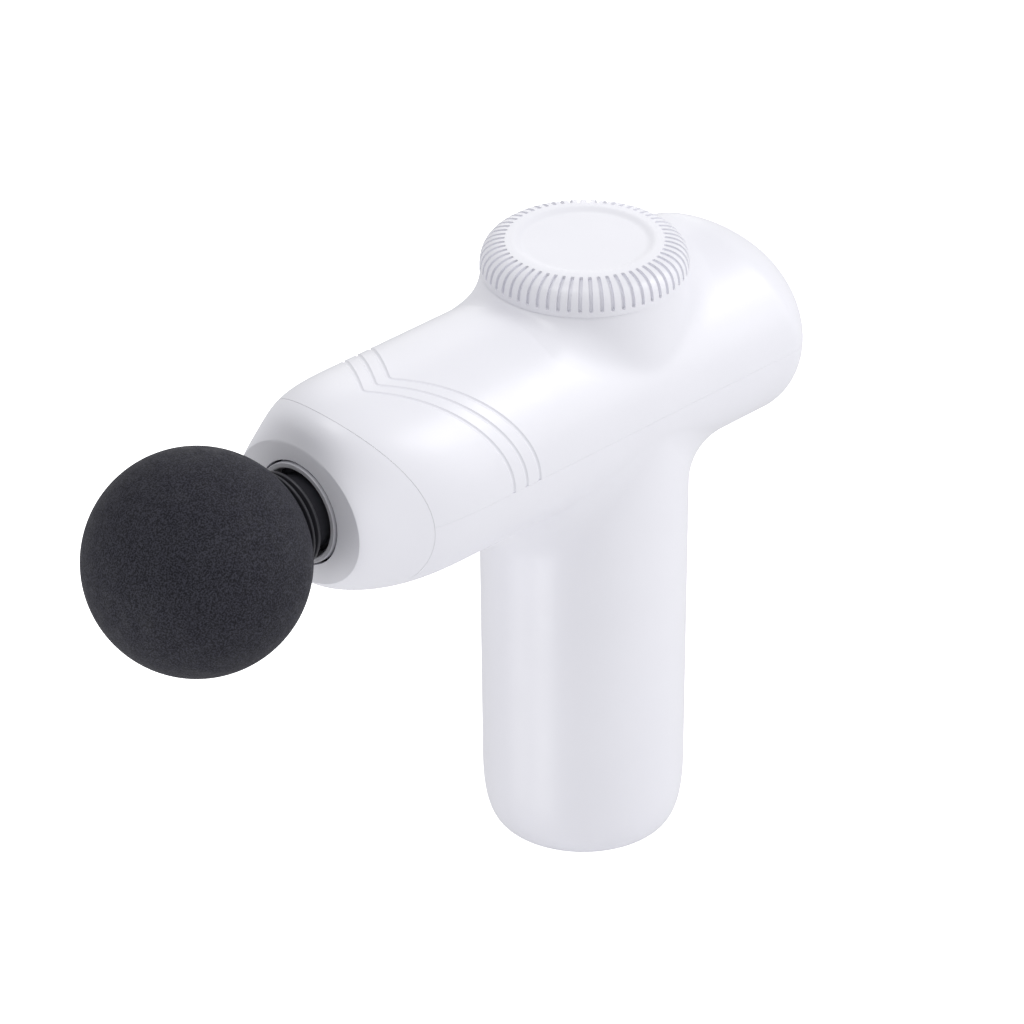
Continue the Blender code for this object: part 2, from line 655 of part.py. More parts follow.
def cylinder_liner():
    """The fixed guide tube, with two flanges that the housings clamp."""
    guide = PISTON_RADIUS + GAP
    corner_room = 1.4 * MM
    flange = BARREL_RADIUS - WALL - corner_room
    profile = [(guide, LINER_FRONT), (LINER_RADIUS, LINER_FRONT)]
    for rear_face in LINER_FLANGES:
        front_face = rear_face - FLANGE_THICKNESS
        profile += [(LINER_RADIUS, front_face), (flange, front_face),
                    (flange, rear_face), (LINER_RADIUS, rear_face)]
    profile += [(LINER_RADIUS, LINER_REAR), (guide, LINER_REAR)]
    add_on_barrel("cylinder_liner", profile, NYLON, 24)
    wiper_front = LINER_FRONT - 3 * MM
    wiper_rear = LINER_FRONT - 2 * GAP
    add_on_barrel("wiper_ring", tube_profile(guide, LINER_RADIUS, wiper_front, wiper_rear), RUBBER, 24)


# ---------------------------------------------------------------- motor


def stator_outline(teeth=9):
    """A star of T-shaped poles round the hub."""
    points = []
    pitch = TAU / teeth
    for index in range(teeth):
        for radius, share in STATOR_POLE:
            turn = (index + share) * pitch
            points.append((radius * MM * math.cos(turn), radius * MM * math.sin(turn)))
    return points


def motor_stator(low, high):
    made = add_object("motor_stator", extruded_mesh("motor_stator", stator_outline(), low, high), COPPER)
    mesh = turned_mesh("stator_bore_cutter", rod_profile(STATOR_BORE, low - MM, high + MM), 28)
    cut(made, add_object("stator_bore_cutter", mesh, COPPER))


def motor_mounting():
    """The cradle across the handle with the rubber damper round it and the screws under it."""
    wall_inner = CRADLE_RADIUS - 1.9 * MM
    cable_hole = 6 * MM
    floor_top = MOTOR_FLOOR + PLATE
    rim = MOTOR_FLOOR + CRADLE_DEPTH
    cradle = [(cable_hole, MOTOR_FLOOR), (CRADLE_RADIUS, MOTOR_FLOOR), (CRADLE_RADIUS, rim),
              (wall_inner, rim), (wall_inner, floor_top), (cable_hole, floor_top)]
    add_on_z("motor_cradle", cradle, NYLON, 28)
    damper_top = rim - MM
    damper = tube_profile(CRADLE_RADIUS + GAP, DAMPER_RADIUS, MOTOR_FLOOR, damper_top)
    add_on_z("motor_damper", damper, RUBBER, 28)
    screw_foot = MOTOR_FLOOR - 1.8 * MM
    for index in range(MOTOR_SCREW_COUNT):
        turn = (index + 0.5) * TAU / MOTOR_SCREW_COUNT
        place = (MOTOR_SCREW_CIRCLE * math.cos(turn), MOTOR_SCREW_CIRCLE * math.sin(turn))
        screw = rod_profile(SCREW_HEAD_RADIUS, screw_foot, MOTOR_FLOOR - GAP)
        add_on_z(f"motor_screw_{index + 1}", screw, STEEL, 12, *place)


def motor_parts():
    """An outer-rotor motor: base with hub and two bearings, wound stator, bell with its magnets."""
    base_low = MOTOR_FLOOR + PLATE + GAP
    base_high = base_low + PLATE
    hub_inner = MOTOR_BEARING_RADIUS + GAP
    hub_outer = STATOR_BORE - GAP
    base_radius = 16 * MM
    base = [(hub_inner, base_low), (base_radius, base_low), (base_radius, base_high), (hub_outer, base_high),
            (hub_outer, MOTOR_HUB_TOP), (hub_inner, MOTOR_HUB_TOP)]
    add_on_z("motor_base", base, ALUMINIUM, 24)
    motor_stator(base_high + 1.2 * MM, MOTOR_HUB_TOP - 1.5 * MM)
    bearing_height = 3 * MM
    inset = 0.4 * MM
    bearings = (("motor_bearing_lower", base_low + inset),
                ("motor_bearing_upper", MOTOR_HUB_TOP - inset - bearing_height))
    for name, low in bearings:
        ring = tube_profile(SHAFT_RADIUS + GAP, MOTOR_BEARING_RADIUS, low, low + bearing_height)
        add_on_z(name, ring, STEEL, 16)
    shaft_top = BARREL_HEIGHT - 5.6 * MM
    add_on_z("motor_shaft", rod_profile(SHAFT_RADIUS, base_low, shaft_top), STEEL, 16)
    motor_bell(base_high + 1 * MM)
    motor_mounting()


def motor_bell(foot):
    """The rotor's bell over the stator, and the ring of magnets inside it."""
    bell_top = ROTOR_ROOF + 1.6 * MM
    bell = [(SHAFT_RADIUS + GAP, ROTOR_ROOF), (ROTOR_INNER_RADIUS, ROTOR_ROOF), (ROTOR_INNER_RADIUS, foot),
            (ROTOR_RADIUS, foot), (ROTOR_RADIUS, bell_top), (SHAFT_RADIUS + GAP, bell_top)]
    add_on_z("motor_rotor", bell, STEEL, 28)
    room = 0.6 * MM
    magnets = tube_profile(MAGNET_INNER_RADIUS, ROTOR_INNER_RADIUS - GAP, foot + room, ROTOR_ROOF - room)
    add_on_z("magnet_ring", magnets, MAGNET, 28)


# ---------------------------------------------------------------- head


def ring_bed(place):
    """The stem's profile over one groove for a retaining ring."""
    half = 1 * MM
    return [(STEM_RADIUS, place - half), (STEM_RING_BED, place - half),
            (STEM_RING_BED, place + half), (STEM_RADIUS, place + half)]


def ring_profile(place, steps=6):
    thick = STEM_RING_THICKNESS
    turns = np.arange(steps) * TAU / steps
    return [(STEM_RING_MIDDLE + thick * math.cos(turn), place + thick * math.sin(turn)) for turn in turns]


def ball_stem(core_tip, seat_x):
    """A core inside the ball, a collar, a rounded lip and a plug with two ring grooves."""
    neck_front = seat_x + GAP
    lip_front = seat_x + 1.8 * MM
    lip_rear = lip_front + 1.4 * MM
    corner = 0.4 * MM
    lip_flat = STEM_LIP - 0.5 * MM
    tip_bevel = 1.5 * MM
    profile = [(0, core_tip), (STEM_CORE, core_tip), (STEM_CORE, neck_front), (STEM_NECK, neck_front),
               (STEM_NECK, lip_front), (lip_flat, lip_front), (STEM_LIP, lip_front + corner),
               (STEM_LIP, lip_rear - corner), (lip_flat, lip_rear), (STEM_RADIUS, lip_rear)]
    for place in STEM_RING_PLACES:
        profile += ring_bed(place)
    profile += [(STEM_RADIUS, STEM_TIP_X - tip_bevel), (STEM_RADIUS - tip_bevel, STEM_TIP_X), (0, STEM_TIP_X)]
    add_on_barrel("ball_stem", profile, CHARCOAL, 24)


def foam_ball(bore_radius, bore_end, seat_x, steps=14):
    """A ball with a flat seat at the back for the stem's collar and a blind bore for its core."""
    seat_radius = math.sqrt(BALL_RADIUS**2 - (seat_x - BALL_X) ** 2)
    seat_angle = math.asin(seat_radius / BALL_RADIUS)
    profile = [(0, bore_end), (bore_radius, bore_end), (bore_radius, seat_x)]
    for angle in np.linspace(seat_angle, math.pi, steps)[:-1]:
        profile.append((BALL_RADIUS * math.sin(angle), BALL_X + BALL_RADIUS * math.cos(angle)))
    profile.append((0, BALL_X - BALL_RADIUS))
    add_on_barrel("foam_ball", profile, FOAM, 28)


def head_parts():
    seat_x = BALL_X + math.sqrt(BALL_RADIUS**2 - STEM_RADIUS**2)
    core_tip = BALL_X - 4 * MM
    ball_stem(core_tip, seat_x)
    for name, place in zip(("stem_ring_front", "stem_ring_rear"), STEM_RING_PLACES):
        add_on_barrel(name, ring_profile(place), RUBBER, 20)
    foam_ball(STEM_CORE + GAP, core_tip - GAP, seat_x)


# ---------------------------------------------------------------- battery and electronics


def battery_cell(index, top):
    """One cell standing in the handle: a can with rounded shoulders and a nub on top."""
    shoulder = 0.8 * MM
    nub_radius = 3 * MM
    nub_height = 1 * MM
    can_top = top - nub_height
    profile = [(0, CELL_FOOT), (CELL_RADIUS - shoulder, CELL_FOOT), (CELL_RADIUS, CELL_FOOT + shoulder),
               (CELL_RADIUS, can_top - shoulder), (CELL_RADIUS - shoulder, can_top), (nub_radius, can_top),
               (nub_radius, top), (0, top)]
    turn = math.pi / 3 + index * TAU / CELL_COUNT
    place = (CELL_CIRCLE * math.cos(turn), CELL_CIRCLE * math.sin(turn))
    add_on_z(f"battery_cell_{index + 1}", profile, CELL_WRAP, 18, *place)


def battery_parts():
    top = CELL_FOOT + CELL_LENGTH
    wire_hole = 3 * MM
    foot_taper = 1 * MM
    lower_high = CELL_FOOT - GAP
    upper_low = top + GAP
    board_low = upper_low + HOLDER_THICKNESS + GAP
    lower = tube_profile(wire_hole, HOLDER_RADIUS - foot_taper, lower_high - HOLDER_THICKNESS, lower_high)
    upper = tube_profile(wire_hole, HOLDER_RADIUS, upper_low, upper_low + HOLDER_THICKNESS)
    board = rod_profile(HOLDER_RADIUS - 1.1 * MM, board_low, board_low + 1.4 * MM)
    for index in range(CELL_COUNT):
        battery_cell(index, top)
    add_on_z("battery_holder_lower", lower, NYLON, 20)
    add_on_z("battery_holder_upper", upper, NYLON, 20)
    add_on_z("battery_board", board, BOARD_GREEN, 20)


def control_board():
    """The drive electronics stand upright across the rear of the barrel."""
    half_width = 13 * MM
    half_height = 14 * MM
    face_x = CONTROL_BOARD_X + BOARD_THICKNESS + GAP
    upright = (math.pi / 2, 0, math.pi / 2)
    lying = (0, math.pi / 2, 0)
    outline = box_outline(-half_width, half_width, -half_height, half_height)
    board = extruded_mesh("control_board", outline, 0, BOARD_THICKNESS)
    add_object("control_board", board, BOARD_GREEN, (CONTROL_BOARD_X, 0, BARREL_HEIGHT), upright)
    capacitor = turned_mesh("power_capacitor", rod_profile(4 * MM, 0, 9 * MM), 20)
    add_object("power_capacitor", capacitor, CHARCOAL, (face_x, 6 * MM, BARREL_HEIGHT - 4 * MM), lying)
    chip_half = 4 * MM
    chip_outline = box_outline(-chip_half, chip_half, -chip_half, chip_half)
    chip = extruded_mesh("drive_chip", chip_outline, 0, 1.4 * MM)
    add_object("drive_chip", chip, CHARCOAL, (face_x, -5 * MM, BARREL_HEIGHT + 3 * MM), upright)


def slot_ring(width, height, x, steps=6):
    """A round-ended slot lying along Y, as points of one ring at a place along X."""
    radius = height / 2
    straight = width / 2 - radius
    ring = []
    for middle, start in ((straight, -math.pi / 2), (-straight, math.pi / 2)):
        for turn in np.linspace(start, start + math.pi, steps):
            ring.append((x, middle + radius * math.cos(turn), radius * math.sin(turn)))
    return ring


def charge_opening():
    inside_wall = 19 * MM
    outside_wall = 25 * MM
    rings = [slot_ring(PORT_WIDTH + 2 * GAP, PORT_HEIGHT + 2 * GAP, x) for x in (inside_wall, outside_wall)]
    mesh = lofted_mesh("charge_opening_cutter", rings, cyclic=False)
    return add_object("charge_opening_cutter", mesh, WHITE, (0, 0, CHARGE_HEIGHT))


def charge_port():
    """A metal shell open to the back of the handle, with its tongue inside and its board below."""
    shell = 0.4 * MM
    floor_x = PORT_BACK + 1 * MM
    inner = (PORT_WIDTH - 2 * shell, PORT_HEIGHT - 2 * shell)
    rings = [slot_ring(PORT_WIDTH, PORT_HEIGHT, PORT_BACK), slot_ring(PORT_WIDTH, PORT_HEIGHT, PORT_MOUTH),
             slot_ring(*inner, PORT_MOUTH), slot_ring(*inner, floor_x)]
    add_object("charge_port", lofted_mesh("charge_port", rings, cyclic=False), STEEL, (0, 0, CHARGE_HEIGHT))
    tongue_half = 3.2 * MM
    tongue_half_thickness = 0.35 * MM
    tongue_outline = box_outline(floor_x + GAP, PORT_MOUTH - 1.5 * MM, -tongue_half, tongue_half)
    tongue = extruded_mesh("charge_tongue", tongue_outline, -tongue_half_thickness, tongue_half_thickness)
    add_object("charge_tongue", tongue, CHARCOAL, (0, 0, CHARGE_HEIGHT))
    board_half = 5.2 * MM
    board_top = -PORT_HEIGHT / 2 - GAP
    board_outline = box_outline(PORT_BACK - 0.2 * MM, PORT_BACK + 4.2 * MM, -board_half, board_half)
    board = extruded_mesh("charge_board", board_outline, board_top - 1 * MM, board_top)
    add_object("charge_board", board, BOARD_GREEN, (0, 0, CHARGE_HEIGHT))


def main():
    clear_scene()
    lower_housing()
    upper_housing()
    nose_cap()
    dial_knob()
    dial_board()
    cylinder_liner()
    piston_sleeve()
    crank_train()
    motor_parts()
    head_parts()
    battery_parts()
    control_board()
    charge_port()


main()
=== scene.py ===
"""The massage gun's visual model: fine surfaces, procedural materials, light and camera.

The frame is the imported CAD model: barrel along X with the ball at -X, handle and dial on Z, the
origin at the centre of the handle's flat base. Lengths are in metres.
"""

import json
import math

import bmesh
import bpy
import numpy as np
from mathutils import Matrix, Vector

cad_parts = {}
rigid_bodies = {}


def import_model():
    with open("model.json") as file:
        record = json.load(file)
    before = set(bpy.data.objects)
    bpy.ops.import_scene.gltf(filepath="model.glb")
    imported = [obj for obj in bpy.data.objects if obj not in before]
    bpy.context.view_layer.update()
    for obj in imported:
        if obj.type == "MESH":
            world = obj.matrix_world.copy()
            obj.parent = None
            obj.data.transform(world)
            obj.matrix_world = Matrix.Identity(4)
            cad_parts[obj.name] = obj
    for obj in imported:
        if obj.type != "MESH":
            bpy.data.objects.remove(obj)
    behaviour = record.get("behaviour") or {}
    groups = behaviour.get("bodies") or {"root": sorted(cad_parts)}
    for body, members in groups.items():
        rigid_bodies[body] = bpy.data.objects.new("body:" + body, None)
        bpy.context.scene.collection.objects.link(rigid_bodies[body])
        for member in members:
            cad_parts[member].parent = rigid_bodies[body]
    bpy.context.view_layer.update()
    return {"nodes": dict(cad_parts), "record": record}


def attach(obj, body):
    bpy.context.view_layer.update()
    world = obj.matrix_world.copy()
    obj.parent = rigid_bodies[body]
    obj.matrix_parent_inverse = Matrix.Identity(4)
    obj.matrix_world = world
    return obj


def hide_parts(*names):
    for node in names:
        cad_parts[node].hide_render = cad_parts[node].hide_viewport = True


MM = 0.001
TAU = 2 * math.pi

# Barrel and housings, with the CAD's own measures
BARREL_HEIGHT = 114.5 * MM
BARREL_RADIUS = 25 * MM
WALL = 2.2 * MM
PARTING_HEIGHT = -1.7 * MM
PARTING_GAP = 0.02 * MM  # a closed joint is a finer line than the CAD's clearance
NOSE_END = {"side": -1, "start": 55.8 * MM, "bulge": 34.4 * MM, "power": 2.77,
            "rake": -7.0 * MM, "flare": -4.8 * MM, "fade": 4}
REAR_END = {"side": 1, "start": 39.4 * MM, "bulge": 17.9 * MM, "power": 1.62,
            "rake": -3.75 * MM, "flare": -2.2 * MM, "fade": 2}
SEAM_RADIUS = 23.5 * MM
FACE_X = -87.1 * MM
FACE_HALF_WIDTH = 18.8 * MM
FACE_HALF_HEIGHT = 16 * MM
FACE_THICKNESS = 2.5 * MM
NOSE_HOLE_RADIUS = 12 * MM
NOSE_ROOM_RADIUS = 15 * MM
HANDLE_TOP_RADIUS = 23.5 * MM
HANDLE_FOOT_RADIUS = 23 * MM
HANDLE_FILLET = 14 * MM
FOOT_EDGE_WIDTH = 5 * MM
FOOT_EDGE_HEIGHT = 17.5 * MM
FOOT_EDGE_POWER = 2.6
FLOOR_THICKNESS = 2.6 * MM
BOSS_TOP = 25.93 * MM
BOSS_RADIUS = 22.9 * MM
BOSS_FILLET = 8 * MM
BOSS_HOLE_RADIUS = 5.3 * MM
BOSS_ROOM = 0.3 * MM  # the fillet ends this far below the boss's top
FLARE_RINGS = 36
FLARE_ROUNDS = 300
FLARE_LEAST = 0.05  # how strongly a round evens the rings at the boss's sides
FLARE_MOST = 0.5  # and along the barrel
SHELL_STEPS = 256  # points round every ring of the housing
MOULDED_EDGE = 0.03 * MM
NOSE_MOULDED_EDGE = 0.06 * MM

# Charging inlet in the back of the handle
CHARGE_HEIGHT = 30 * MM
CHARGE_WIDTH = 9.5 * MM
CHARGE_TALLNESS = 3.8 * MM
CHARGE_CUT = (19 * MM, 25 * MM)  # from inside the handle's wall to outside it

# Engraved lines over the upper housing
GROOVE_COUNT = 3
GROOVE_PITCH = 3.9 * MM
GROOVE_FOOT_X = -46.9 * MM
GROOVE_SWEEP = 24.5 * MM
GROOVE_BEND = 1.72
GROOVE_KNEE = math.radians(9)
GROOVE_FOOT = math.radians(93)
GROOVE_SLANT = 15.5 * MM
GROOVE_FAR_KNEE = math.radians(-42)
GROOVE_HALF_WIDTH = 0.5 * MM
GROOVE_DEPTH = 0.3 * MM
GROOVE_PAST_EDGE = math.radians(1.5)  # the cutter runs on past the parting edge

# Dial
DIAL_RADIUS = 23.1 * MM
DIAL_TOP = 33.1 * MM
DIAL_FOOT = 26 * MM
DIAL_EDGE_WIDTH = 8.2 * MM
DIAL_EDGE_POWER = 2.94
DIAL_SKIRT_RADIUS = 20.3 * MM
DIAL_ROOF = 29.8 * MM
DISH_RIM = 15.9 * MM
DISH_FLOOR_RADIUS = 13.4 * MM
DISH_DEPTH = 0.5 * MM
SLOT_COUNT = 60
SLOT_HALF_WIDTH = 0.43 * MM
SLOT_WALL = 0.07 * MM  # how far the slot's side leans
SLOT_DEPTH = 0.7 * MM
SLOT_TOP_RADIUS = 17.5 * MM
SLOT_FOOT_HEIGHT = 27.1 * MM
SLOT_SHOULDER = 0.08 * MM  # a row of points this far outside the slot keeps its edge crisp

# Ball head and sleeve
BALL_RADIUS = 24.6 * MM
BALL_X = -116.5 * MM
STEM_RADIUS = 9.9 * MM
STEM_TIP_X = -66 * MM
CORE_RADIUS = 7.5 * MM
SLEEVE_FRONT = -87.6 * MM
SLEEVE_REAR = -28 * MM
SLEEVE_RADIUS = 11.5 * MM
SOCKET_RADIUS = 10.2 * MM
BORE_ROOM = 0.3 * MM
SLEEVE_WALL = (-54 * MM, -49 * MM)  # the wall between the socket and the hollow rear
SLEEVE_BROKEN_EDGE = 0.25 * MM
RING_BEDS = (-80 * MM, -72 * MM)
AXIS_HOLE = 0.2 * MM  # turned pieces start this far from the axis

# Camera, fitted to the object's outline: it looks at a point beside the barrel's middle
VIEW_AZIMUTH = math.radians(-44.97)
VIEW_ELEVATION = math.radians(30.19)
VIEW_ROLL = math.radians(-0.205)
VIEW_DISTANCE = 1438.2 * MM
VIEW_RIGHT = -15.97 * MM
VIEW_UP = -31.11 * MM
SENSOR = 36.0
FOCAL_LENGTH = 228.5

# Softboxes: name, azimuth and elevation in degrees as for the camera, width in metres, power in
# watts. Those with a negative elevation stand under the table, which lets them through.
SOFTBOX_DISTANCE = 1.2
SOFTBOXES = (
    ("left_high", -90, 73, 0.5, 2.5),
    ("right", 45, 35, 0.5, 4.32),
    ("right_low", 45, 10, 0.5, 1.3),
    ("back", 135, 35, 0.5, 0.88),
    ("back_low", 135, 10, 0.5, 0.7),
    ("table_left", -90, -30, 0.4, 2.03),
    ("table_back_left", -120, -30, 0.4, 1.04),
)
ROOM_GLOW = 0.656
BACKDROP_RADIUS = 5.0
LIT_POINT = (-0.03, 0, 0.09)



# ---------------------------------------------------------------- mesh building


def clear_startup_scene():
    for item in list(bpy.data.objects):
        bpy.data.objects.remove(item, do_unlink=True)


def mesh_from_rings(name, rings, cyclic):
    """Joins rings of equally many points into one skin, closed at both ends unless it is cyclic."""
    count = len(rings[0])
    points = np.concatenate(rings)
    first = np.arange(count)
    after = (first + 1) % count
    faces = []
    for row in range(len(rings) - (0 if cyclic else 1)):
        low = row * count
        high = (row + 1) % len(rings) * count
        faces += np.stack((first + low, after + low, after + high, first + high), axis=1).tolist()
    if not cyclic:
        faces.append(first.tolist())
        faces.append((first + (len(rings) - 1) * count).tolist())
    mesh = bpy.data.meshes.new(name)
    mesh.from_pydata(points.tolist(), [], faces)
    return mesh


def finish_mesh(mesh, sharp_angle=40):
    """Merges stray doubles, turns the faces outwards and shades smooth."""
    bm = bmesh.new()
    bm.from_mesh(mesh)
    bmesh.ops.remove_doubles(bm, verts=bm.verts, dist=1e-7)
    bmesh.ops.recalc_face_normals(bm, faces=bm.faces)
    bm.to_mesh(mesh)
    bm.free()
    mesh.shade_smooth()
    mesh.set_sharp_from_angle(angle=math.radians(sharp_angle))


def add_piece(name, mesh, look, body, slot, *replaced):
    """Puts a finished mesh, built round the barrel's axis, in the scene as a piece that rides on a
    body and stands for CAD nodes."""
    piece = bpy.data.objects.new(name, mesh)
    piece.location = (0, 0, BARREL_HEIGHT)
    bpy.context.scene.collection.objects.link(piece)
    mesh.materials.clear()
    mesh.materials.append(look)
    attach(piece, body)
    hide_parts(*replaced)
    return piece


def soften_edges(piece, width, segments=2, angle=40):
    """Rounds the piece's sharp edges by a small moulded radius."""
    bevel = piece.modifiers.new("soft_edges", "BEVEL")
    bevel.width = width
    bevel.segments = segments
    bevel.limit_method = "ANGLE"
    bevel.angle_limit = math.radians(angle)
    bevel.use_clamp_overlap = True


def weight_normals(piece):
    """Lets the large faces set the shading, so that slivers beside a cut don't show."""
    modifier = piece.modifiers.new("even_shading", "WEIGHTED_NORMAL")
    modifier.keep_sharp = True
    modifier.weight = 80


def cut_out(piece, mesh):
    """Takes the mesh out of the piece by a Boolean and applies it."""
    cutter = bpy.data.objects.new(mesh.name, mesh)
    cutter.location = piece.location
    bpy.context.scene.collection.objects.link(cutter)
    modifier = piece.modifiers.new("cut", "BOOLEAN")
    modifier.operation = "DIFFERENCE"
    modifier.solver = "EXACT"
    modifier.object = cutter
    apply_modifiers(piece)
    bpy.data.objects.remove(cutter, do_unlink=True)


def apply_modifiers(piece):
    """Gives the piece the mesh that its modifiers make of it."""
    bpy.context.view_layer.update()
    evaluated = piece.evaluated_get(bpy.context.evaluated_depsgraph_get())
    finished = bpy.data.meshes.new_from_object(evaluated)
    piece.modifiers.clear()
    piece.data = finished


# ---------------------------------------------------------------- the housing's surface


def superellipse(share, power):
    """The height over a share of the half width, from 1 at the middle to 0 at the edge."""
    return np.clip(1 - np.clip(share, 0, 1) ** power, 0, 1) ** (1 / power)


def end_x(end, radius, angle, inset=0.0):
    """Where an end surface lies, at a distance from the barrel's axis and an angle from its top."""
    share = radius / (BARREL_RADIUS - inset)
    reach = end["start"] + (end["bulge"] - inset) * superellipse(share, end["power"])
    lean = end["rake"] * np.cos(angle) + end["flare"] * np.cos(2 * angle)
    return end["side"] * reach + lean * np.clip(share, 0, 1) ** end["fade"]


def inside_barrel(points, inset):
    """Which points lie within the barrel's skin, moved inwards by inset."""
    radius = np.hypot(points[:, 1], points[:, 2])
    angle = np.arctan2(points[:, 1], points[:, 2])
    ahead = points[:, 0] > end_x(NOSE_END, radius, angle, inset)
    behind = points[:, 0] < end_x(REAR_END, radius, angle, inset)
    return (radius < BARREL_RADIUS - inset) & ahead & behind


def reach_surface(origins, directions, inset=0.0):
    """The points where rays leave the barrel, its axis being at height 0."""
    near = np.zeros(len(directions))
    far = np.full(len(directions), 8 * BARREL_RADIUS)
    halvings = 48
    for _ in range(halvings):
        middle = (near + far) / 2
        inside = inside_barrel(origins + directions * middle[:, None], inset)
        near = np.where(inside, middle, near)
        far = np.where(inside, far, middle)
    return origins + directions * near[:, None]


def unit(vectors):
    return vectors / np.linalg.norm(vectors, axis=-1, keepdims=True)


def turn_between(first, second, share):
    """Unit vectors a share of the way round from one set to another."""
    angle = np.arccos(np.clip((first * second).sum(1), -1, 1))[:, None]
    return (first * np.sin((1 - share) * angle) + second * np.sin(share * angle)) / np.sin(angle)


def seam_ring(angles, shift=0.0):
    """The line between nose cap and housings, moved along X by shift."""
    seam_x = end_x(NOSE_END, SEAM_RADIUS, angles) + shift
    return np.stack((seam_x, SEAM_RADIUS * np.sin(angles), SEAM_RADIUS * np.cos(angles)), axis=1)


def housing_rim(side, count):
    """Evenly spaced points round one housing's edge: the parting plane, then over the nose seam."""
    level = PARTING_HEIGHT + side * PARTING_GAP / 2
    corner = math.acos(level / SEAM_RADIUS)
    seam_steps = 200
    plane_steps = 900
    seam_end = 0 if side > 0 else math.pi
    seam = seam_ring(np.linspace(corner, seam_end, seam_steps), PARTING_GAP / 2)
    turns = np.linspace(0, math.atan2(seam[0][1], seam[0][0]), plane_steps)[:-1]
    directions = np.stack((np.cos(turns), np.sin(turns), np.zeros_like(turns)), axis=1)
    near_half = np.concatenate((reach_surface(np.array((0, 0, level)), directions), seam))
    steps = np.linalg.norm(np.diff(near_half, axis=0), axis=1)
    travel = np.concatenate(((0,), np.cumsum(steps)))
    wanted = np.linspace(0, travel[-1], count // 2 + 1)
    # the corner between parting plane and seam falls on the nearest point, so that it stays crisp
    corner_travel = travel[-seam_steps]
    wanted[np.abs(wanted - corner_travel).argmin()] = corner_travel
    half = np.stack([np.interp(wanted, travel, near_half[:, axis]) for axis in range(3)], axis=1)
    return np.concatenate((half, half[-2:0:-1] * (1, -1, 1)))


def fillet_radius(turns, post_radius, barrel_radius, ceiling, widest):
    """The rolling ball's radius between a vertical post and the barrel.

    It is the widest that the post's height allows, and passes softly over into the widest asked for."""
    side_share = np.sin(turns) ** 2
    a = 1 - side_share
    b = 2 * (barrel_radius - post_radius * side_share)
    c = barrel_radius**2 - post_radius**2 * side_share - ceiling**2
    fitting = -2 * c / (b + np.sqrt(b**2 - 4 * a * c))
    return widest * fitting / (widest**4 + fitting**4) ** 0.25


def fillet_rings(side, post_radius, turns, radius, inset, count):
    """Rings down the rolling-ball fillet, from the post's wall to the barrel."""
    post = post_radius - inset
    barrel = BARREL_RADIUS - inset
    x = (post + radius) * np.cos(turns)
    y = (post + radius) * np.sin(turns)
    z = side * np.sqrt((barrel + radius) ** 2 - y**2)
    to_post = np.stack((-np.cos(turns), -np.sin(turns), np.zeros_like(turns)), axis=1)
    to_barrel = unit(np.stack((np.zeros_like(turns), -y, -z), axis=1))
    centre = np.stack((x, y, z), axis=1)
    shares = np.linspace(0, 1, count)
    return [centre + radius[:, None] * turn_between(to_post, to_barrel, share) for share in shares]


def skin_rings(side, post_radius, ceiling, widest, rim, inset, fillet_count, barrel_count):
    """One skin of a half housing, from the top of the post's fillet out to the rim."""
    count = len(rim)
    turns = np.arange(count) * TAU / count
    post = post_radius - inset
    radius = fillet_radius(turns, post, BARREL_RADIUS - inset, ceiling, widest + inset)
    rings = fillet_rings(side, post_radius, turns, radius, inset, fillet_count)
    origin = np.array((0, 0, PARTING_HEIGHT + side * PARTING_GAP / 2))
    start = unit(rings[-1] - origin)
    finish = unit(rim - origin)
    for share in np.linspace(0, 1, barrel_count + 1)[1:]:
        rings.append(reach_surface(origin, turn_between(start, finish, share), inset))
    return rings


def flare_rings(rings, last, rounds):
    """Evens out the rings between the first and the last, most of all along the barrel."""
    points = np.stack(rings)
    turns = np.arange(points.shape[1]) * TAU / points.shape[1]
    ease = (FLARE_LEAST + (FLARE_MOST - FLARE_LEAST) * np.cos(turns) ** 2)[:, None]
    for _ in range(rounds):
        between = (points[:last - 1] + points[2:last + 1]) / 2
        points[1:last] += (between - points[1:last]) * ease
    return list(points)


def level_ring(radius, height, count):
    """A level circle about the handle's axis."""
    turns = np.arange(count) * TAU / count
    return np.stack((radius * np.cos(turns), radius * np.sin(turns), np.full(count, height)), axis=1)


def foot_outline(steps, inset, floor):
    """(radius, height) points from the flat base up round the handle's foot."""
    angles = np.linspace(math.pi / 2, 0, steps)
    across = np.cos(angles).clip(0) ** (2 / FOOT_EDGE_POWER)
    up = 1 - np.sin(angles) ** (2 / FOOT_EDGE_POWER)
    radius = HANDLE_FOOT_RADIUS - inset - FOOT_EDGE_WIDTH * (1 - across)
    height = floor + (FOOT_EDGE_HEIGHT - floor) * up - BARREL_HEIGHT
    return list(zip(radius, height))


def handle_rings(skin, count, foot_steps, wall_steps, inset, floor):
    """Rings from the base's edge up to the first ring of a skin, with the handle's slight taper."""
    outline = foot_outline(foot_steps, inset, floor)
    rings = [level_ring(radius, height, count) for radius, height in outline]
    foot = rings[-1]
    between = [foot + (skin[0] - foot) * share for share in np.linspace(0, 1, wall_steps + 1)[1:-1]]
    return rings + between + skin


# ---------------------------------------------------------------- housing pieces


